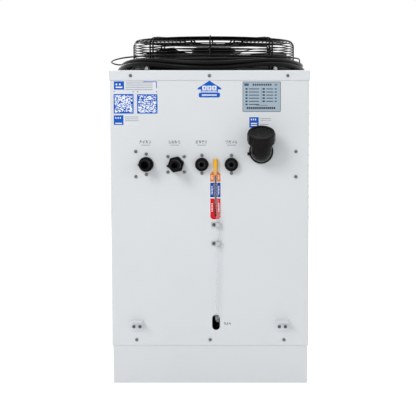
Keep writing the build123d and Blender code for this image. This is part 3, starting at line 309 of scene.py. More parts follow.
def woven_mesh(name):
    """The dust filter's knitted mesh in its border, with painted shade in its holes."""
    finish = Finish(name)
    x, y, z = finish.axes()
    shaded_hole = (abs((x % 2.4) - 1.2) < 0.75) * (abs((z % 2.4) - 1.2) < 0.75)
    thread = finish.mix(finish.noise(12, 4.0), rgb(44, 45, 47), rgb(70, 72, 74))
    finish.set(
        # The holes are painted near-black: painted shade of the dark space behind the mesh.
        Base_Color=finish.mix(shaded_hole, thread, rgb(14, 14, 15)),
        Roughness=finish.noise(4) * 0.2 + 0.6,
    )
    finish.bump(1 - shaded_hole, 0.6, 0.4)
    return finish.material


# Prints: plain fields of colour and simple marks, placed by the panel's x and z in millimetres

BLUE = rgb(0, 88, 190)
INK = rgb(84, 88, 96)
FAINT = rgb(150, 155, 163)
FILM = rgb(224, 227, 231)
SNOW = rgb(244, 247, 250)
SCALE_STRIPE = rgb(10, 9, 11)
SCALE_BANDS = (
    (496.5, 521, rgb(226, 124, 30)),
    (458.5, 494.5, rgb(8, 66, 158)),
    (404.5, 456, rgb(212, 16, 26)),
)
PLATE_GROUND = rgb(166, 183, 195)
PLATE_EDGE = rgb(60, 70, 86)
PLATE_INK = rgb(26, 32, 42)
PLATE_GREY = rgb(70, 80, 96)
PLATE_BLUE = rgb(70, 84, 120)
GLASS = rgb(16, 10, 10)
LIT = rgb(255, 60, 40)
CODE_CELL = 1.9
GLYPH_CELL = 1.2
FILM_THICK = 0.25
CAPTION_THICK = 0.15


class Print:
    """A printed film: marks laid over a ground, each a mask on the panel's x and z in millimetres."""

    def __init__(self, name, ground, roughness=0.35):
        self.finish = Finish(name)
        self.x, _, self.z = self.finish.axes()
        drift = self.finish.noise(30, 3.0)
        self.colour = self.finish.mix(drift, shade(ground, 0.97), shade(ground, 1.02))
        self.finish.set(
            Roughness=self.finish.noise(8) * 0.1 + (roughness - 0.05),
            Specular_IOR_Level=0.25,
        )
        self.finish.bump(self.finish.noise(1.5), 0.12, 0.03)

    def box(self, x0, x1, z0, z1):
        """1 inside a rectangle."""
        return (self.x > x0) * (self.x < x1) * (self.z > z0) * (self.z < z1)

    def rows(self, x0, x1, top, pitch, count, height):
        """Lines of small print as plain bars."""
        inside = self.box(x0, x1, top - pitch * (count - 1) - height, top)
        return inside * (((top - self.z) % pitch) < height)

    def dashes(self, x0, x1, z0, z1, count, share=0.7):
        """A word as a row of small blocks."""
        pitch = (x1 - x0) / count
        return self.box(x0, x1, z0, z1) * (((self.x - x0) % pitch) < pitch * share)

    def cells(self, x0, x1, z0, z1, size):
        """A field of random cells, a little more than half of them filled."""
        column = ((self.x - x0) / size).floor()
        row = ((self.z - z0) / size).floor()
        spot = self.finish.node("ShaderNodeCombineXYZ", {}, column, row, x0 + 0.5)
        draw = self.finish.node("ShaderNodeTexWhiteNoise", {"noise_dimensions": "3D"}, spot)
        return self.box(x0, x1, z0, z1) * (draw > 0.46)

    def lay(self, mask, colour):
        """Prints a colour where the mask is 1."""
        self.colour = self.finish.mix(mask, self.colour, colour)

    def done(self):
        """The film's material."""
        self.finish.set(Base_Color=self.colour)
        return self.finish.material


# Piece making

BEND_STEPS = 6
HEAD_R = 4
HEAD_HEIGHT = 2.4
HEAD_ROUND = 1.3
CROSS_LENGTH = 4.6
CROSS_WIDTH = 1.1
CROSS_MIDDLE = 2.3
CROSS_DEPTH = 1.8


def only(piece):
    """Makes a piece the only one selected, and the active one."""
    bpy.ops.object.select_all(action="DESELECT")
    piece.select_set(True)
    bpy.context.view_layer.objects.active = piece


def keep(piece, name, material, smooth=35):
    """Finishes a piece: its place goes into its mesh, and it rides on its body."""
    only(piece)
    bpy.ops.object.transform_apply(location=True, rotation=True, scale=True)
    piece.name = name
    piece.data.name = name
    piece.data.materials.clear()
    piece.data.materials.append(material)
    if smooth and piece.type == "MESH":
        bpy.ops.object.shade_smooth_by_angle(angle=math.radians(smooth))
    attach(piece, BODY)
    return piece


def joined(pieces):
    """Several pieces as one."""
    bpy.ops.object.select_all(action="DESELECT")
    for piece in pieces:
        piece.select_set(True)
    bpy.context.view_layer.objects.active = pieces[0]
    bpy.ops.object.join()
    return bpy.context.object


def as_mesh(piece):
    """A curve with its thickness or fill as a mesh."""
    only(piece)
    bpy.ops.object.convert(target="MESH")
    return bpy.context.object


def new_curve(name, points, kind, thickness=0.0, closed=False, flat=False):
    """A curve through or around points in millimetres, with a round section if it has a thickness."""
    data = bpy.data.curves.new(name, "CURVE")
    data.dimensions = "2D" if flat else "3D"
    spline = data.splines.new(kind)
    spline.points.add(len(points) - 1)
    for point, place in zip(spline.points, points):
        point.co = (*(v * MM for v in place), 1.0)
    spline.use_cyclic_u = closed
    if kind == "NURBS":
        spline.order_u = 3
        spline.use_endpoint_u = True
    data.bevel_depth = thickness * MM / 2
    piece = bpy.data.objects.new(name, data)
    bpy.context.scene.collection.objects.link(piece)
    return piece


def rounded(points, radii):
    """The points of bent wire: straight runs with a round bend at each inner corner."""
    line = [Vector(points[0])]
    for before, here, after, radius in zip(points, points[1:], points[2:], radii):
        here = Vector(here)
        way_in = (here - Vector(before)).normalized()
        way_out = (Vector(after) - here).normalized()
        turn = way_in.angle(way_out)
        reach = radius * math.tan(turn / 2)
        start = here - way_in * reach
        middle = start + (way_out - way_in * way_in.dot(way_out)).normalized() * radius
        axis = way_in.cross(way_out).normalized()
        for i in range(BEND_STEPS + 1):
            line.append(middle + Matrix.Rotation(turn * i / BEND_STEPS, 3, axis) @ (start - middle))
    line.append(Vector(points[-1]))
    return line


def outline_box(x0, x1, z0, z1, corner, steps=5):
    """A rectangle with round corners, as (x, z) points."""
    points = []
    for cx, cz, start in ((x1 - corner, z1 - corner, 0), (x0 + corner, z1 - corner, 90),
                          (x0 + corner, z0 + corner, 180), (x1 - corner, z0 + corner, 270)):
        for i in range(steps + 1):
            angle = math.radians(start + 90 * i / steps)
            points.append((cx + corner * math.cos(angle), cz + corner * math.sin(angle)))
    return points


def film(outlines, thick=FILM_THICK):
    """Flat film on the service panel, cut to its outlines, which are (x, z) points on the panel."""
    cut = []
    for outline in outlines:
        piece = new_curve("film", [(x, z, 0) for x, z in outline], "POLY", closed=True, flat=True)
        piece.data.fill_mode = "BOTH"
        piece.data.extrude = thick * MM / 2
        middle = Matrix.Translation((0, (PANEL_Y - thick / 2) * MM, 0))
        piece.matrix_world = middle @ Matrix.Rotation(math.pi / 2, 4, "X")
        cut.append(as_mesh(piece))
    return joined(cut)


def select_edges(piece, test):
    """Edit mode with only the edges selected whose middle passes the test."""
    only(piece)
    bpy.ops.object.mode_set(mode="EDIT")
    bpy.ops.mesh.select_mode(type="EDGE")
    bpy.ops.mesh.select_all(action="DESELECT")
    bpy.ops.object.mode_set(mode="OBJECT")
    for edge in piece.data.edges:
        ends = [piece.data.vertices[v].co for v in edge.vertices]
        edge.select = test((ends[0] + ends[1]) / 2, ends)
    bpy.ops.object.mode_set(mode="EDIT")


def cut_by(piece, cutter):
    """Takes the cutter's shape out of a piece."""
    only(piece)
    modifier = piece.modifiers.new("cut", "BOOLEAN")
    modifier.operation = "DIFFERENCE"
    modifier.solver = "EXACT"
    modifier.object = cutter
    bpy.ops.object.modifier_apply(modifier=modifier.name)
    bpy.data.objects.remove(cutter)


def pan_head():
    """A pan head screw with a cross recess, standing on z = 0 and pointing up."""
    half = HEAD_HEIGHT / 2 * MM
    bpy.ops.mesh.primitive_cylinder_add(vertices=28, radius=HEAD_R * MM, depth=HEAD_HEIGHT * MM,
                                        location=(0, 0, half))
    head = bpy.context.object
    bpy.ops.object.transform_apply(location=True, rotation=False, scale=False)
    select_edges(head, lambda middle, ends: all(e.z > half for e in ends) and middle.xy.length > half)
    bpy.ops.mesh.bevel(offset=HEAD_ROUND * MM, segments=4, affect="EDGES")
    bpy.ops.object.mode_set(mode="OBJECT")
    for width, depth in ((CROSS_LENGTH, CROSS_WIDTH), (CROSS_WIDTH, CROSS_LENGTH)):
        bpy.ops.mesh.primitive_cube_add(size=1, location=(0, 0, CROSS_MIDDLE * MM))
        cutter = bpy.context.object
        cutter.scale = (width * MM, depth * MM, CROSS_DEPTH * MM)
        bpy.ops.object.transform_apply(location=True, rotation=False, scale=True)
        cut_by(head, cutter)
    return head


def copies(model, places):
    """Copies of a model, each with its own mesh, joined into one piece. A place is a matrix."""
    made = []
    for place in places:
        mesh = model.data.copy()
        mesh.transform(place)
        piece = bpy.data.objects.new(model.name, mesh)
        bpy.context.scene.collection.objects.link(piece)
        made.append(piece)
    bpy.data.objects.remove(model)
    return joined(made)


FACING = {
    "rear": Matrix.Rotation(math.radians(90), 4, "X"),
    "front": Matrix.Rotation(math.radians(-90), 4, "X"),
    "left": Matrix.Rotation(math.radians(-90), 4, "Y"),
    "right": Matrix.Rotation(math.radians(90), 4, "Y"),
}


def at(x, y, z, facing, turn):
    """Where a screw goes: its head's seat, its side and how far it was turned in."""
    seat = Matrix.Translation((x * MM, y * MM, z * MM))
    return seat @ FACING[facing] @ Matrix.Rotation(math.radians(turn), 4, "Z")


# The materials

WHITE = rgb(220, 223, 225)
paint = powder_coat("powder_coat_white", WHITE)
zinc = metal("zinc_plate", (0.56, 0.57, 0.58), 0.38, 3.0)
screw_steel = metal("screw_steel", (0.17, 0.17, 0.172), 0.3, 1.5)
dark_steel = metal("darkened_steel", (0.12, 0.12, 0.125), 0.36, 1.5)
wire_black = coated_wire("black_coated_wire")
fan_black = moulded("fan_black_paint", rgb(12, 12, 13), 0.42, 1.1, 0.05, 0.06)
cast = metal("cast_aluminium", (0.62, 0.63, 0.64), 0.45, 2.0)
ground_steel = metal("ground_steel", (0.66, 0.67, 0.69), 0.2, 0.8)
nylon_black = moulded("black_nylon", rgb(15, 15, 17), 0.3, shine=0.08)
filler_black = moulded("filler_black", rgb(20, 17, 17), 0.26, 1.2, 0.015, 0.08)
collet_black = moulded("collet_black", rgb(26, 27, 29), 0.2, 1.5, 0.01, 0.25)
yellow = moulded("yellow_stopper", rgb(238, 176, 38), 0.34, 1.0, 0.02)
nylon_clear = moulded("natural_nylon", rgb(190, 194, 195), 0.35, 1.0, 0.02)
rubber = moulded("moulded_rubber", rgb(16, 16, 16), 0.7, 0.5, 0.06)
tank_white = moulded("tank_plastic", rgb(205, 210, 208), 0.5, 4.0, 0.2)
copper = metal("drawn_copper", (0.80, 0.42, 0.27), 0.28, 4.0)
compressor_black = moulded("compressor_black", rgb(16, 16, 18), 0.35, 1.1, 0.05)
grille_black = moulded("grille_black", rgb(22, 23, 25), 0.5, 0.8, 0.08)
bezel_grey = moulded("bezel_grey", rgb(60, 63, 68), 0.5, 0.8, 0.06)
controller_black = moulded("controller_black", rgb(14, 15, 17), 0.22, 1.5, 0.02)
key_grey = moulded("key_grey", rgb(128, 132, 138), 0.5, 0.6, 0.04)
rocker_red = moulded("rocker_red", rgb(176, 30, 26), 0.25, 1.2, 0.02)
cable_black = sheath("cable_sheath", rgb(11, 11, 12), 0.32)

WEARS = {
    paint: ("base_tray", "rear_panel", "front_panel", "left_panel", "right_panel", "lid", "angle_brackets"),
    zinc: ("corner_posts", "tank_brackets", "electrical_box", "plate_exchanger", "guard_bolts"),
    fan_black: ("rotor_can", "fan_impeller"),
    cast: ("motor_stator",),
    ground_steel: ("motor_bearings",),
    nylon_black: ("outlet_port", "outlet_nut", "inlet_port", "inlet_nut", "push_port_out", "push_port_in",
                  "drain_pipe", "pumps", "power_gland", "signal_gland", "power_plug", "signal_connector"),
    filler_black: ("filler_neck", "filler_cap"),
    collet_black: ("collet_out", "collet_in"),
    yellow: ("hose_stopper",),
    nylon_clear: ("hose_clips",),
    rubber: ("cap_seal", "water_hoses", "compressor_feet"),
    tank_white: ("water_tank",),
    copper: ("copper_pipes", "filter_drier"),
    compressor_black: ("compressor",),
    stacked_fins("fin_pack"): ("condenser",),
    grille_black: ("intake_grille",),
    woven_mesh("filter_mesh"): ("dust_filter",),
    bezel_grey: ("control_bezel",),
    controller_black: ("controller", "switch_housing"),
    key_grey: ("button_1", "button_2", "button_3", "button_4"),
    rocker_red: ("power_rocker",),
    clear_tube("clear_hose"): ("level_hose",),
}
for material, names in WEARS.items():
    for name in names:
        for holder in NODES[name].material_slots:
            holder.material = material


# Camera, floor and light

FLOOR_SIZE = 24
FLOOR_GLOW = 1.2
FLOOR_GLOW_SHARE = 0.75
ROOM_COLOUR = (0.96, 0.98, 1.0, 1)
ROOM_LIGHT = 0.52
AIM = Vector((0, 0, 0.45))
SOFTBOXES = {
    "key_softbox": ((-1.5, -2.5, 2.3), 1.3, 40),
    "fill_softbox": ((2.0, -2.6, 1.2), 1.6, 12),
    "top_softbox": ((0.2, 0.6, 3.0), 1.8, 26),
    "back_softbox": ((-1.2, 2.6, 1.6), 1.6, 24),
}


def background_rays(tree):
    """A socket that is 1 for what the camera sees directly, in a reflection or through clear plastic."""
    rays = tree.nodes.new("ShaderNodeLightPath")
    seen = rays.outputs["Is Camera Ray"]
    for kind in ("Is Glossy Ray", "Is Transmission Ray"):
        either = tree.nodes.new("ShaderNodeMath")
        either.operation = "MAXIMUM"
        tree.links.new(seen, either.inputs[0])
        tree.links.new(rays.outputs[kind], either.inputs[1])
        seen = either.outputs[0]
    return seen


def blend_shaders(tree, share, first, second, output):
    """Shows the second shader by that share, and the first one for the rest."""
    blend = tree.nodes.new("ShaderNodeMixShader")
    for socket, source in zip(blend.inputs, (share, first, second)):
        tree.links.new(source, socket)
    tree.links.new(blend.outputs[0], output.inputs["Surface"])


def make_camera():
    """The camera at the photographer's place."""
    camera = bpy.data.objects.new("camera", bpy.data.cameras.new("camera"))
    bpy.context.scene.collection.objects.link(camera)
    camera.location = [v * MM for v in CAMERA_AT]
    camera.rotation_euler = (math.radians(90 - CAMERA_PITCH), 0, 0)
    camera.data.lens = CAMERA_LENS
    camera.data.sensor_width = 36
    camera.data.shift_x, camera.data.shift_y = CAMERA_SHIFT
    camera.data.clip_end = 100
    bpy.context.scene.camera = camera
    bpy.context.scene.view_settings.view_transform = "Standard"


def make_floor():
    """A white floor, bright where it is background, that keeps the object's shadow."""
    bpy.ops.mesh.primitive_plane_add(size=FLOOR_SIZE, location=(0, 0, 0))
    floor = bpy.context.object
    floor.name = "floor"
    finish = Finish("floor_white")
    finish.set(Base_Color=(0.86, 0.86, 0.87, 1), Roughness=0.9)
    glow = finish.node("ShaderNodeEmission", {}, (1, 1, 1, 1), FLOOR_GLOW)
    share = Value(finish, background_rays(finish.tree)) * FLOOR_GLOW_SHARE
    blend_shaders(finish.tree, share.socket, finish.shader.outputs[0], glow.socket,
                  finish.tree.nodes["Material Output"])
    floor.data.materials.append(finish.material)


def make_light():
    """A dim room, white where it is background, and four softboxes."""
    world = bpy.data.worlds.new("studio")
    bpy.context.scene.world = world
    world.use_nodes = True
    tree = world.node_tree
    tree.nodes.clear()
    room = tree.nodes.new("ShaderNodeBackground")
    room.inputs["Color"].default_value = ROOM_COLOUR
    room.inputs["Strength"].default_value = ROOM_LIGHT
    white = tree.nodes.new("ShaderNodeBackground")
    white.inputs["Color"].default_value = (1, 1, 1, 1)
    blend_shaders(tree, background_rays(tree), room.outputs[0], white.outputs[0],
                  tree.nodes.new("ShaderNodeOutputWorld"))
    for name, (place, size, power) in SOFTBOXES.items():
        lamp = bpy.data.objects.new(name, bpy.data.lights.new(name, "AREA"))
        bpy.context.scene.collection.objects.link(lamp)
        lamp.data.energy = power
        lamp.data.size = size
        lamp.location = place
        lamp.rotation_euler = (AIM - lamp.location).to_track_quat("-Z", "Y").to_euler()


make_camera()
make_floor()
make_light()


# Cables

def smooth_step(value):
    """From 0 to 1 with a level start and end."""
    value = min(1.0, max(0.0, value))
    return value * value * (3 - 2 * value)


def bundle_place(name, angle):
    """Radius and height of a place in the coil's bundle at an angle round the guard."""
    first = COIL_STATIONS[0]
    angle = (angle - first) % 360 + first
    spots = COIL_PLACES[name] + COIL_PLACES[name][:1]
    stops = COIL_STATIONS + (first + 360,)
    for i in range(len(COIL_STATIONS)):
        if angle <= stops[i + 1]:
            share = smooth_step((angle - stops[i]) / (stops[i + 1] - stops[i]))
            return [a + (b - a) * share for a, b in zip(spots[i], spots[i + 1])]
    return list(spots[-1])


def coil_point(angle):
    """A point of the cable in the coil, which changes its place in the bundle once a turn."""
    moved = sum(smooth_step((angle - start) / SHIFT_LENGTH) for start in COIL_SHIFTS)
    index = min(int(moved), len(COIL_ORDER) - 2)
    share = moved - index
    low = bundle_place(COIL_ORDER[index], angle)
    high = bundle_place(COIL_ORDER[index + 1], angle)
    radius, height = [a + (b - a) * share for a, b in zip(low, high)]
    turn = math.radians(angle)
    return (COIL_X + radius * math.cos(turn), radius * math.sin(turn), height)


def make_cables():
    """The power cable in its loose coil round the guard, and the thin signal cable."""
    turns = [coil_point(a) for a in range(COIL_FROM, COIL_TO + 1, COIL_STEP)]
    power = new_curve("power_cable", POWER_LEAD + turns + POWER_TAIL, "NURBS", POWER_WIRE)
    signal = new_curve("signal_cable_run", SIGNAL_ROUTE, "NURBS", SIGNAL_WIRE)
    for cable, name, nodes in (
        (power, "power_cable", ("power_coil", "power_lead", "power_tail")),
        (signal, "signal_cable_run", ("signal_cable",)),
    ):
        cable.data.resolution_u = 6
        cable.data.bevel_resolution = 4
        cable.data.use_fill_caps = True
        keep(cable, name, cable_black, smooth=0)
        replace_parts(cable, *nodes)


make_cables()


# Wire guard over the fan

GUARD_R = 208.5
RING_WIRE = 2.8
SIDE_RINGS = 11
SIDE_RING_RISE = 9
SIDE_RING_PITCH = 6.6
TOP_RINGS = 12
TOP_RING_Z = 849.2
TOP_RING_INSET = 4.4
TOP_RING_PITCH = 10.4
ARM_WIRE = 4
ARM_R = 211.3
ARM_Z = 852
ARM_GAP = 11
SINGLE_RISE = 7.6
FOOT_RISE = 2.1
FOOT_R = 226
HUB_R = 64
HUB_HOLE = 10
HUB_SHEET = 2.5
HUB_Z = 839.35
HUB_WIRE_Z = 842
HUB_LAP = 12
HUB_STRAIGHT = 2
HUB_RISE_END = 14
HUB_BEND = 6
SHOULDER = 16
FOOT_BEND = 4
LOOP_BEND = 5.4


def wire(points, radii, thickness, turn):
    """A bent wire whose points are turned about the fan's axis."""
    spin = Matrix.Rotation(math.radians(turn), 3, "Z")
    return as_mesh(new_curve("wire", [spin @ p for p in rounded(points, radii)], "POLY", thickness))


def make_guard():
    """Round rings, four single wires, four hairpins with looped feet and the plate in the middle."""
    pieces = []
    rings = [(GUARD_R, LID + SIDE_RING_RISE + SIDE_RING_PITCH * i) for i in range(SIDE_RINGS)]
    rings += [(GUARD_R - TOP_RING_INSET - TOP_RING_PITCH * i, TOP_RING_Z) for i in range(TOP_RINGS)]
    for radius, height in rings:
        bpy.ops.mesh.primitive_torus_add(
            location=(0, 0, height * MM), major_radius=radius * MM, minor_radius=RING_WIRE / 2 * MM,
            major_segments=96, minor_segments=8,
        )
        pieces.append(bpy.context.object)
    over = [(HUB_R - HUB_LAP, HUB_WIRE_Z), (HUB_R + HUB_STRAIGHT, HUB_WIRE_Z)]
    over += [(HUB_R + HUB_RISE_END, ARM_Z), (ARM_R, ARM_Z)]
    single = [(r, 0, z) for r, z in over + [(ARM_R, LID + SINGLE_RISE)]]
    half = over + [(ARM_R, LID + FOOT_RISE), (FOOT_R + ARM_GAP / 2, LID + FOOT_RISE)]
    double = [(r, ARM_GAP / 2, z) for r, z in half] + [(r, -ARM_GAP / 2, z) for r, z in half[::-1]]
    bends = [HUB_BEND, HUB_BEND, SHOULDER, FOOT_BEND]
    for turn in range(0, 360, 90):
        pieces.append(wire(single, bends, ARM_WIRE, turn))
        pieces.append(wire(double, bends + [LOOP_BEND, LOOP_BEND] + bends[::-1], ARM_WIRE, turn + 45))
    bpy.ops.mesh.primitive_cylinder_add(vertices=64, radius=HUB_R * MM, depth=HUB_SHEET * MM,
                                        location=(0, 0, HUB_Z * MM))
    plate = bpy.context.object
    bpy.ops.mesh.primitive_cylinder_add(vertices=32, radius=HUB_HOLE * MM, depth=HUB_HOLE * MM,
                                        location=plate.location)
    cut_by(plate, bpy.context.object)
    guard = keep(joined(pieces + [plate]), "guard_wires", wire_black)
    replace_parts(guard, "fan_guard")


make_guard()


# Screws with cross recesses, each group on its own piece of the cabinet

LID_HALF = (242, 252)
BODY_HALF = (240, 250)
LID_SCREW_Z = 753
LID_SCREW_X = (-190, 0, 189)
LOW_SCREW_Z = 108
LOW_SCREW_X = (-180, 0, 181)
SIDE_SCREW_Y = (-190, 190)
LOW_SIDE_SCREW_Z = 112
POST_SCREW_X = (-179, 209)
POST_SCREW_Z = (509, 570)
PORT_Z = 539
OUTLET_X = -153.7
OUTLET_SCREW_RISE = 25
INLET_X = -81.2
INLET_SCREWS = (20, 19)
PUSH_PORT_X = (-18.6, 53)
PUSH_SCREW_RISE = 22
CLIP_SCREW_X = 9.5
CLIP_Z = (346, 392)
CLIP_STRAP = 1.6
BRACKET_X = (-179, 177)
BRACKET_Z = 141
BRACKET_SCREW = 7.5
BRACKET_SHEET = 3
SCREW_TURN = 37


def turned_in(place, index):
    """Each screw stops at an angle of its own."""
    return at(*place, turn=index * SCREW_TURN)


def make_screws():
    """The pan heads of the panels, the ports, the clips and the brackets."""
    ends = (("rear", -1), ("front", 1))
    sides = (("left", -1), ("right", 1))
    panel = [(x, s * LID_HALF[1], LID_SCREW_Z, way) for way, s in ends for x in LID_SCREW_X]
    panel += [(x, s * BODY_HALF[1], LOW_SCREW_Z, way) for way, s in ends for x in LOW_SCREW_X]
    panel += [(s * LID_HALF[0], y, LID_SCREW_Z, way) for way, s in sides for y in SIDE_SCREW_Y]
    panel += [(s * BODY_HALF[0], y, LOW_SIDE_SCREW_Z, way) for way, s in sides for y in SIDE_SCREW_Y]
    panel += [(x, PANEL_Y, z, "rear") for x in POST_SCREW_X for z in POST_SCREW_Z]
    both = (-1, 1)
    across, up = INLET_SCREWS
    ports = [(OUTLET_X, PANEL_Y, PORT_Z + s * OUTLET_SCREW_RISE, "rear") for s in both]
    ports += [(INLET_X + s * across, PANEL_Y, PORT_Z + t * up, "rear") for s in both for t in both]
    ports += [(x, PANEL_Y, PORT_Z + s * PUSH_SCREW_RISE, "rear") for x in PUSH_PORT_X for s in both]
    black = [(CLIP_SCREW_X, PANEL_Y - CLIP_STRAP, z, "rear") for z in CLIP_Z]
    black += [(x + s * BRACKET_SCREW, PANEL_Y - BRACKET_SHEET, BRACKET_Z, "rear")
              for x in BRACKET_X for s in both]
    for name, places, material, slot, node in (
        ("panel_screw_heads", panel, screw_steel, "zinc_steel", "panel_screws"),
        ("port_screw_heads", ports, screw_steel, "zinc_steel", "fitting_screws"),
        ("bracket_screw_heads", black, dark_steel, "black_screw", "fitting_screws"),
    ):
        heads = copies(pan_head(), [turned_in(place, i) for i, place in enumerate(places)])
        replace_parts(keep(heads, name, material), node)


make_screws()


# Printed films on the service panel

MARK_WIDTH = 2.8
MARK_PITCH = 3.6
MARK_HEIGHT = 2.2
PLATE_PITCH = 7.45
PLATE_LEFT_ROWS = 6
PLATE_RIGHT_ROWS = 5
CAPTION_X = (-169.2, -99, -33.6, 39)
CAPTION_WIDTH = 29
CAPTION_Z = (589.4, 596.6)


def make_level_scale():
    """The stadium behind the level hose: three bands of colour with plain marks and a dark stripe."""
    art = Print("level_scale_print", SNOW)
    for low, high, colour in SCALE_BANDS:
        art.lay(art.box(1.2, 26.3, low, high), colour)
    for x in (4.2, 20.4):
        for top, count in ((512, 3), (486, 6), (444, 6)):
            art.lay(art.rows(x, x + MARK_WIDTH, top, MARK_PITCH, count, MARK_HEIGHT), SNOW)
    # A near-black stripe down the middle of the scale, where the hose lies over it.
    art.lay(art.box(12, 16.6, 412, 511), SCALE_STRIPE)
    shape = film([outline_box(0.2, 27.2, 403, 522.4, 13.4, 10)])
    keep(shape, "level_scale", art.done())


def make_left_prints():
    """Notes at the top left: two blue squares, two fields of random cells and lines as small print."""
    art = Print("notes_print", FILM)
    art.lay(art.box(-230.4, -205.8, 719.4, 739.3), BLUE)
    art.lay(art.dashes(-226, -210, 730, 734, 2, 0.45), SNOW)
    art.lay(art.box(-226, -210, 723.6, 726.6), SNOW)
    art.lay(art.rows(-202.4, -137, 738, 4.4, 5, 1.5), FAINT)
    art.lay(art.box(-159.5, -126.8, 737.4, 739.2) + art.box(-128.6, -126.8, 722.8, 739.2), BLUE)
    for x in (-231, -185.4, -174.5, -128.8):
        art.lay(art.box(x, x + 2.4, 713, 715.4), BLUE)
    for edge, field in (
        ((-231.4, -183.2, 661.6, 708.8), (-228.6, -186, 664.4, 706)),
        ((-174.8, -125.6, 661.6, 708.3), (-172, -128.4, 664.4, 705.6)),
    ):
        art.lay(art.box(*edge), BLUE)
        art.lay(art.cells(*field, CODE_CELL), SNOW)
    art.lay(art.box(-231.4, -207.9, 634.2, 657.7), BLUE)
    art.lay(art.dashes(-227.5, -211.5, 649.4, 653.2, 3, 0.45), SNOW)
    art.lay(art.box(-227.5, -211.5, 636.6, 639.6), shade(SNOW, 0.8))
    art.lay(art.rows(-204.3, -171.6, 654.4, 4.6, 3, 1.5), FAINT)
    shape = film([
        outline_box(-231.6, -126.2, 718.6, 740, 1), outline_box(-232, -182.6, 661, 716, 1),
        outline_box(-175.4, -125, 661, 716, 1), outline_box(-232, -171, 633.6, 658.4, 1),
    ])
    keep(shape, "printed_notes", art.done())


def make_house_sign():
    """The blue sign in the middle: a pointed roof, a body with three white marks and a band below."""
    art = Print("sign_print", BLUE)
    for x in (-17, -5, 7):
        art.lay(art.box(x, x + 10, 717.6, 728.6), SNOW)
        art.lay(art.box(x + 2.4, x + 7.6, 720, 722.4) + art.box(x + 2.4, x + 7.6, 724, 726.2), BLUE)
    art.lay(art.dashes(-19, 19, 713.6, 716, 15, 0.7), SNOW)
    art.lay(art.dashes(-18, 18, 704.6, 708, 14, 0.72), SNOW)
    roof = [(-28.4, 719.9), (28.4, 719.9), (28.4, 723), (0, 741), (-28.4, 723)]
    body = [(-20.5, 712.9), (20.5, 712.9), (20.5, 719.9), (-20.5, 719.9)]
    shape = film([roof, body, outline_box(-25.6, 25.6, 700.6, 712, 3.4)])
    keep(shape, "house_sign", art.done())


def make_rating_plate():
    """The silver-blue plate at the right with rows of small marks, which say nothing."""
    art = Print("rating_print", PLATE_GROUND, 0.3)
    edge = art.box(81.2, 171, 667, 737.4)
    art.lay(1 - edge, PLATE_EDGE)
    art.lay(art.dashes(104.3, 151.5, 728.9, 733.7, 9, 0.66), rgb(28, 34, 46))
    art.lay(art.box(84, 95, 728.4, 734.4) + art.dashes(157.6, 165, 729, 733.4, 2, 0.6), PLATE_BLUE)
    art.lay(art.rows(87, 92, 723, PLATE_PITCH, PLATE_LEFT_ROWS, 3.6), PLATE_INK)
    art.lay(art.rows(95, 120, 722.2, PLATE_PITCH, PLATE_LEFT_ROWS, 2.2), PLATE_GREY)
    art.lay(art.box(124.4, 125.4, 687.7, 724), rgb(110, 124, 150))
    art.lay(art.rows(128, 134, 723, PLATE_PITCH, PLATE_RIGHT_ROWS, 3.6), PLATE_INK)
    art.lay(art.rows(137, 154, 722.2, PLATE_PITCH, PLATE_RIGHT_ROWS, 2.2), PLATE_GREY)
    art.lay(art.rows(157.6, 162.4, 722.6, PLATE_PITCH, PLATE_RIGHT_ROWS, 3), PLATE_BLUE)
    art.lay(art.box(111.6, 140.6, 681, 682.6), rgb(100, 112, 140))
    art.lay(art.dashes(89.8, 160, 672.6, 677.6, 15, 0.76), rgb(22, 28, 38))
    keep(film([outline_box(80.1, 172.1, 665.9, 738.5, 2)]), "rating_plate", art.done())


def make_small_label():
    """The small blue label below the plate with its lines of print."""
    art = Print("small_label_print", FILM)
    art.lay(art.box(96.3, 118.9, 627.7, 653.1), BLUE)
    art.lay(art.dashes(100, 115, 645.4, 649.4, 3, 0.5), SNOW)
    art.lay(art.box(100, 115, 636.8, 639.2) + art.box(100, 115, 632, 634.4), SNOW)
    art.lay(art.rows(122.5, 149.1, 651, 4.5, 2, 1.5) + art.box(122.5, 142, 635, 636.5), FAINT)
    keep(film([outline_box(95.6, 150, 627, 653.8, 1)]), "small_label", art.done())


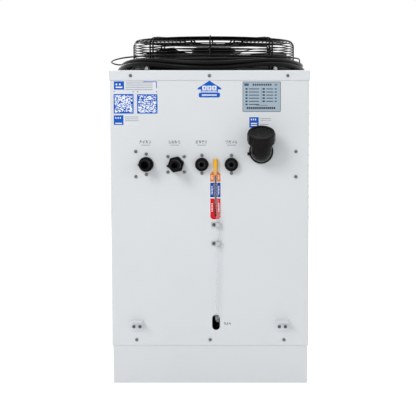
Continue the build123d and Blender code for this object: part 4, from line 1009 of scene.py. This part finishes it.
def make_captions():
    """A word and a line above each port, and a mark beside the drain slot, as plain blocks."""
    art = Print("caption_print", WHITE)
    shapes = []
    for x in CAPTION_X:
        word = (x, x + CAPTION_WIDTH, *CAPTION_Z)
        glyphs = art.dashes(*word, 4, 0.72) * art.cells(*word, GLYPH_CELL)
        line = art.dashes(x + 4, x + CAPTION_WIDTH - 4, 584.6, 586.4, 11, 0.6)
        art.lay(glyphs + line, INK)
        shapes.append(outline_box(x - 2, x + CAPTION_WIDTH + 2, 583, 598.2, 1))
    word = (34.1, 52.3, 145, 151)
    art.lay(art.dashes(*word, 3, 0.72) * art.cells(*word, GLYPH_CELL), INK)
    shapes.append(outline_box(32.6, 54, 143.4, 152.6, 1))
    keep(film(shapes, CAPTION_THICK), "captions", art.done())


DISPLAY_PLACE = (-55, 257, 695)
DISPLAY_SIZE = (51, 0.5, 15.2)
DIGITS_Z = 689.5
DIGITS = ((38, "abged"), (48, "abcdef"), (61, "abcdef"))
SEGMENTS = {
    "a": (1, 5, 10, 11),
    "b": (5, 6, 6, 10),
    "c": (5, 6, 1, 5),
    "d": (1, 5, 0, 1),
    "e": (0, 1, 1, 5),
    "f": (0, 1, 6, 10),
    "g": (1, 5, 5, 6),
}
POINT = (56.6, 57.8, 689.5, 690.7)


def make_display():
    """The controller's display: dark glass with plain lit numbers, which face the other side."""
    art = Print("display_glass", GLASS, 0.08)
    art.x = -1 * art.x
    lit = 0
    for left, used in DIGITS:
        for name in used:
            x0, x1, z0, z1 = SEGMENTS[name]
            lit = art.box(left + x0, left + x1, DIGITS_Z + z0, DIGITS_Z + z1) + lit
    lit = art.box(*POINT) + lit
    art.lay(lit, LIT)
    glow = art.finish.mix(lit, (0, 0, 0, 1), rgb(255, 50, 30))
    art.finish.set(Emission_Color=glow, Emission_Strength=0.8)
    bpy.ops.mesh.primitive_cube_add(size=1, location=[v * MM for v in DISPLAY_PLACE])
    glass = bpy.context.object
    glass.scale = [v * MM for v in DISPLAY_SIZE]
    keep(glass, "display", art.done(), smooth=0)


make_level_scale()
make_left_prints()
make_house_sign()
make_rating_plate()
make_small_label()
make_captions()
make_display()
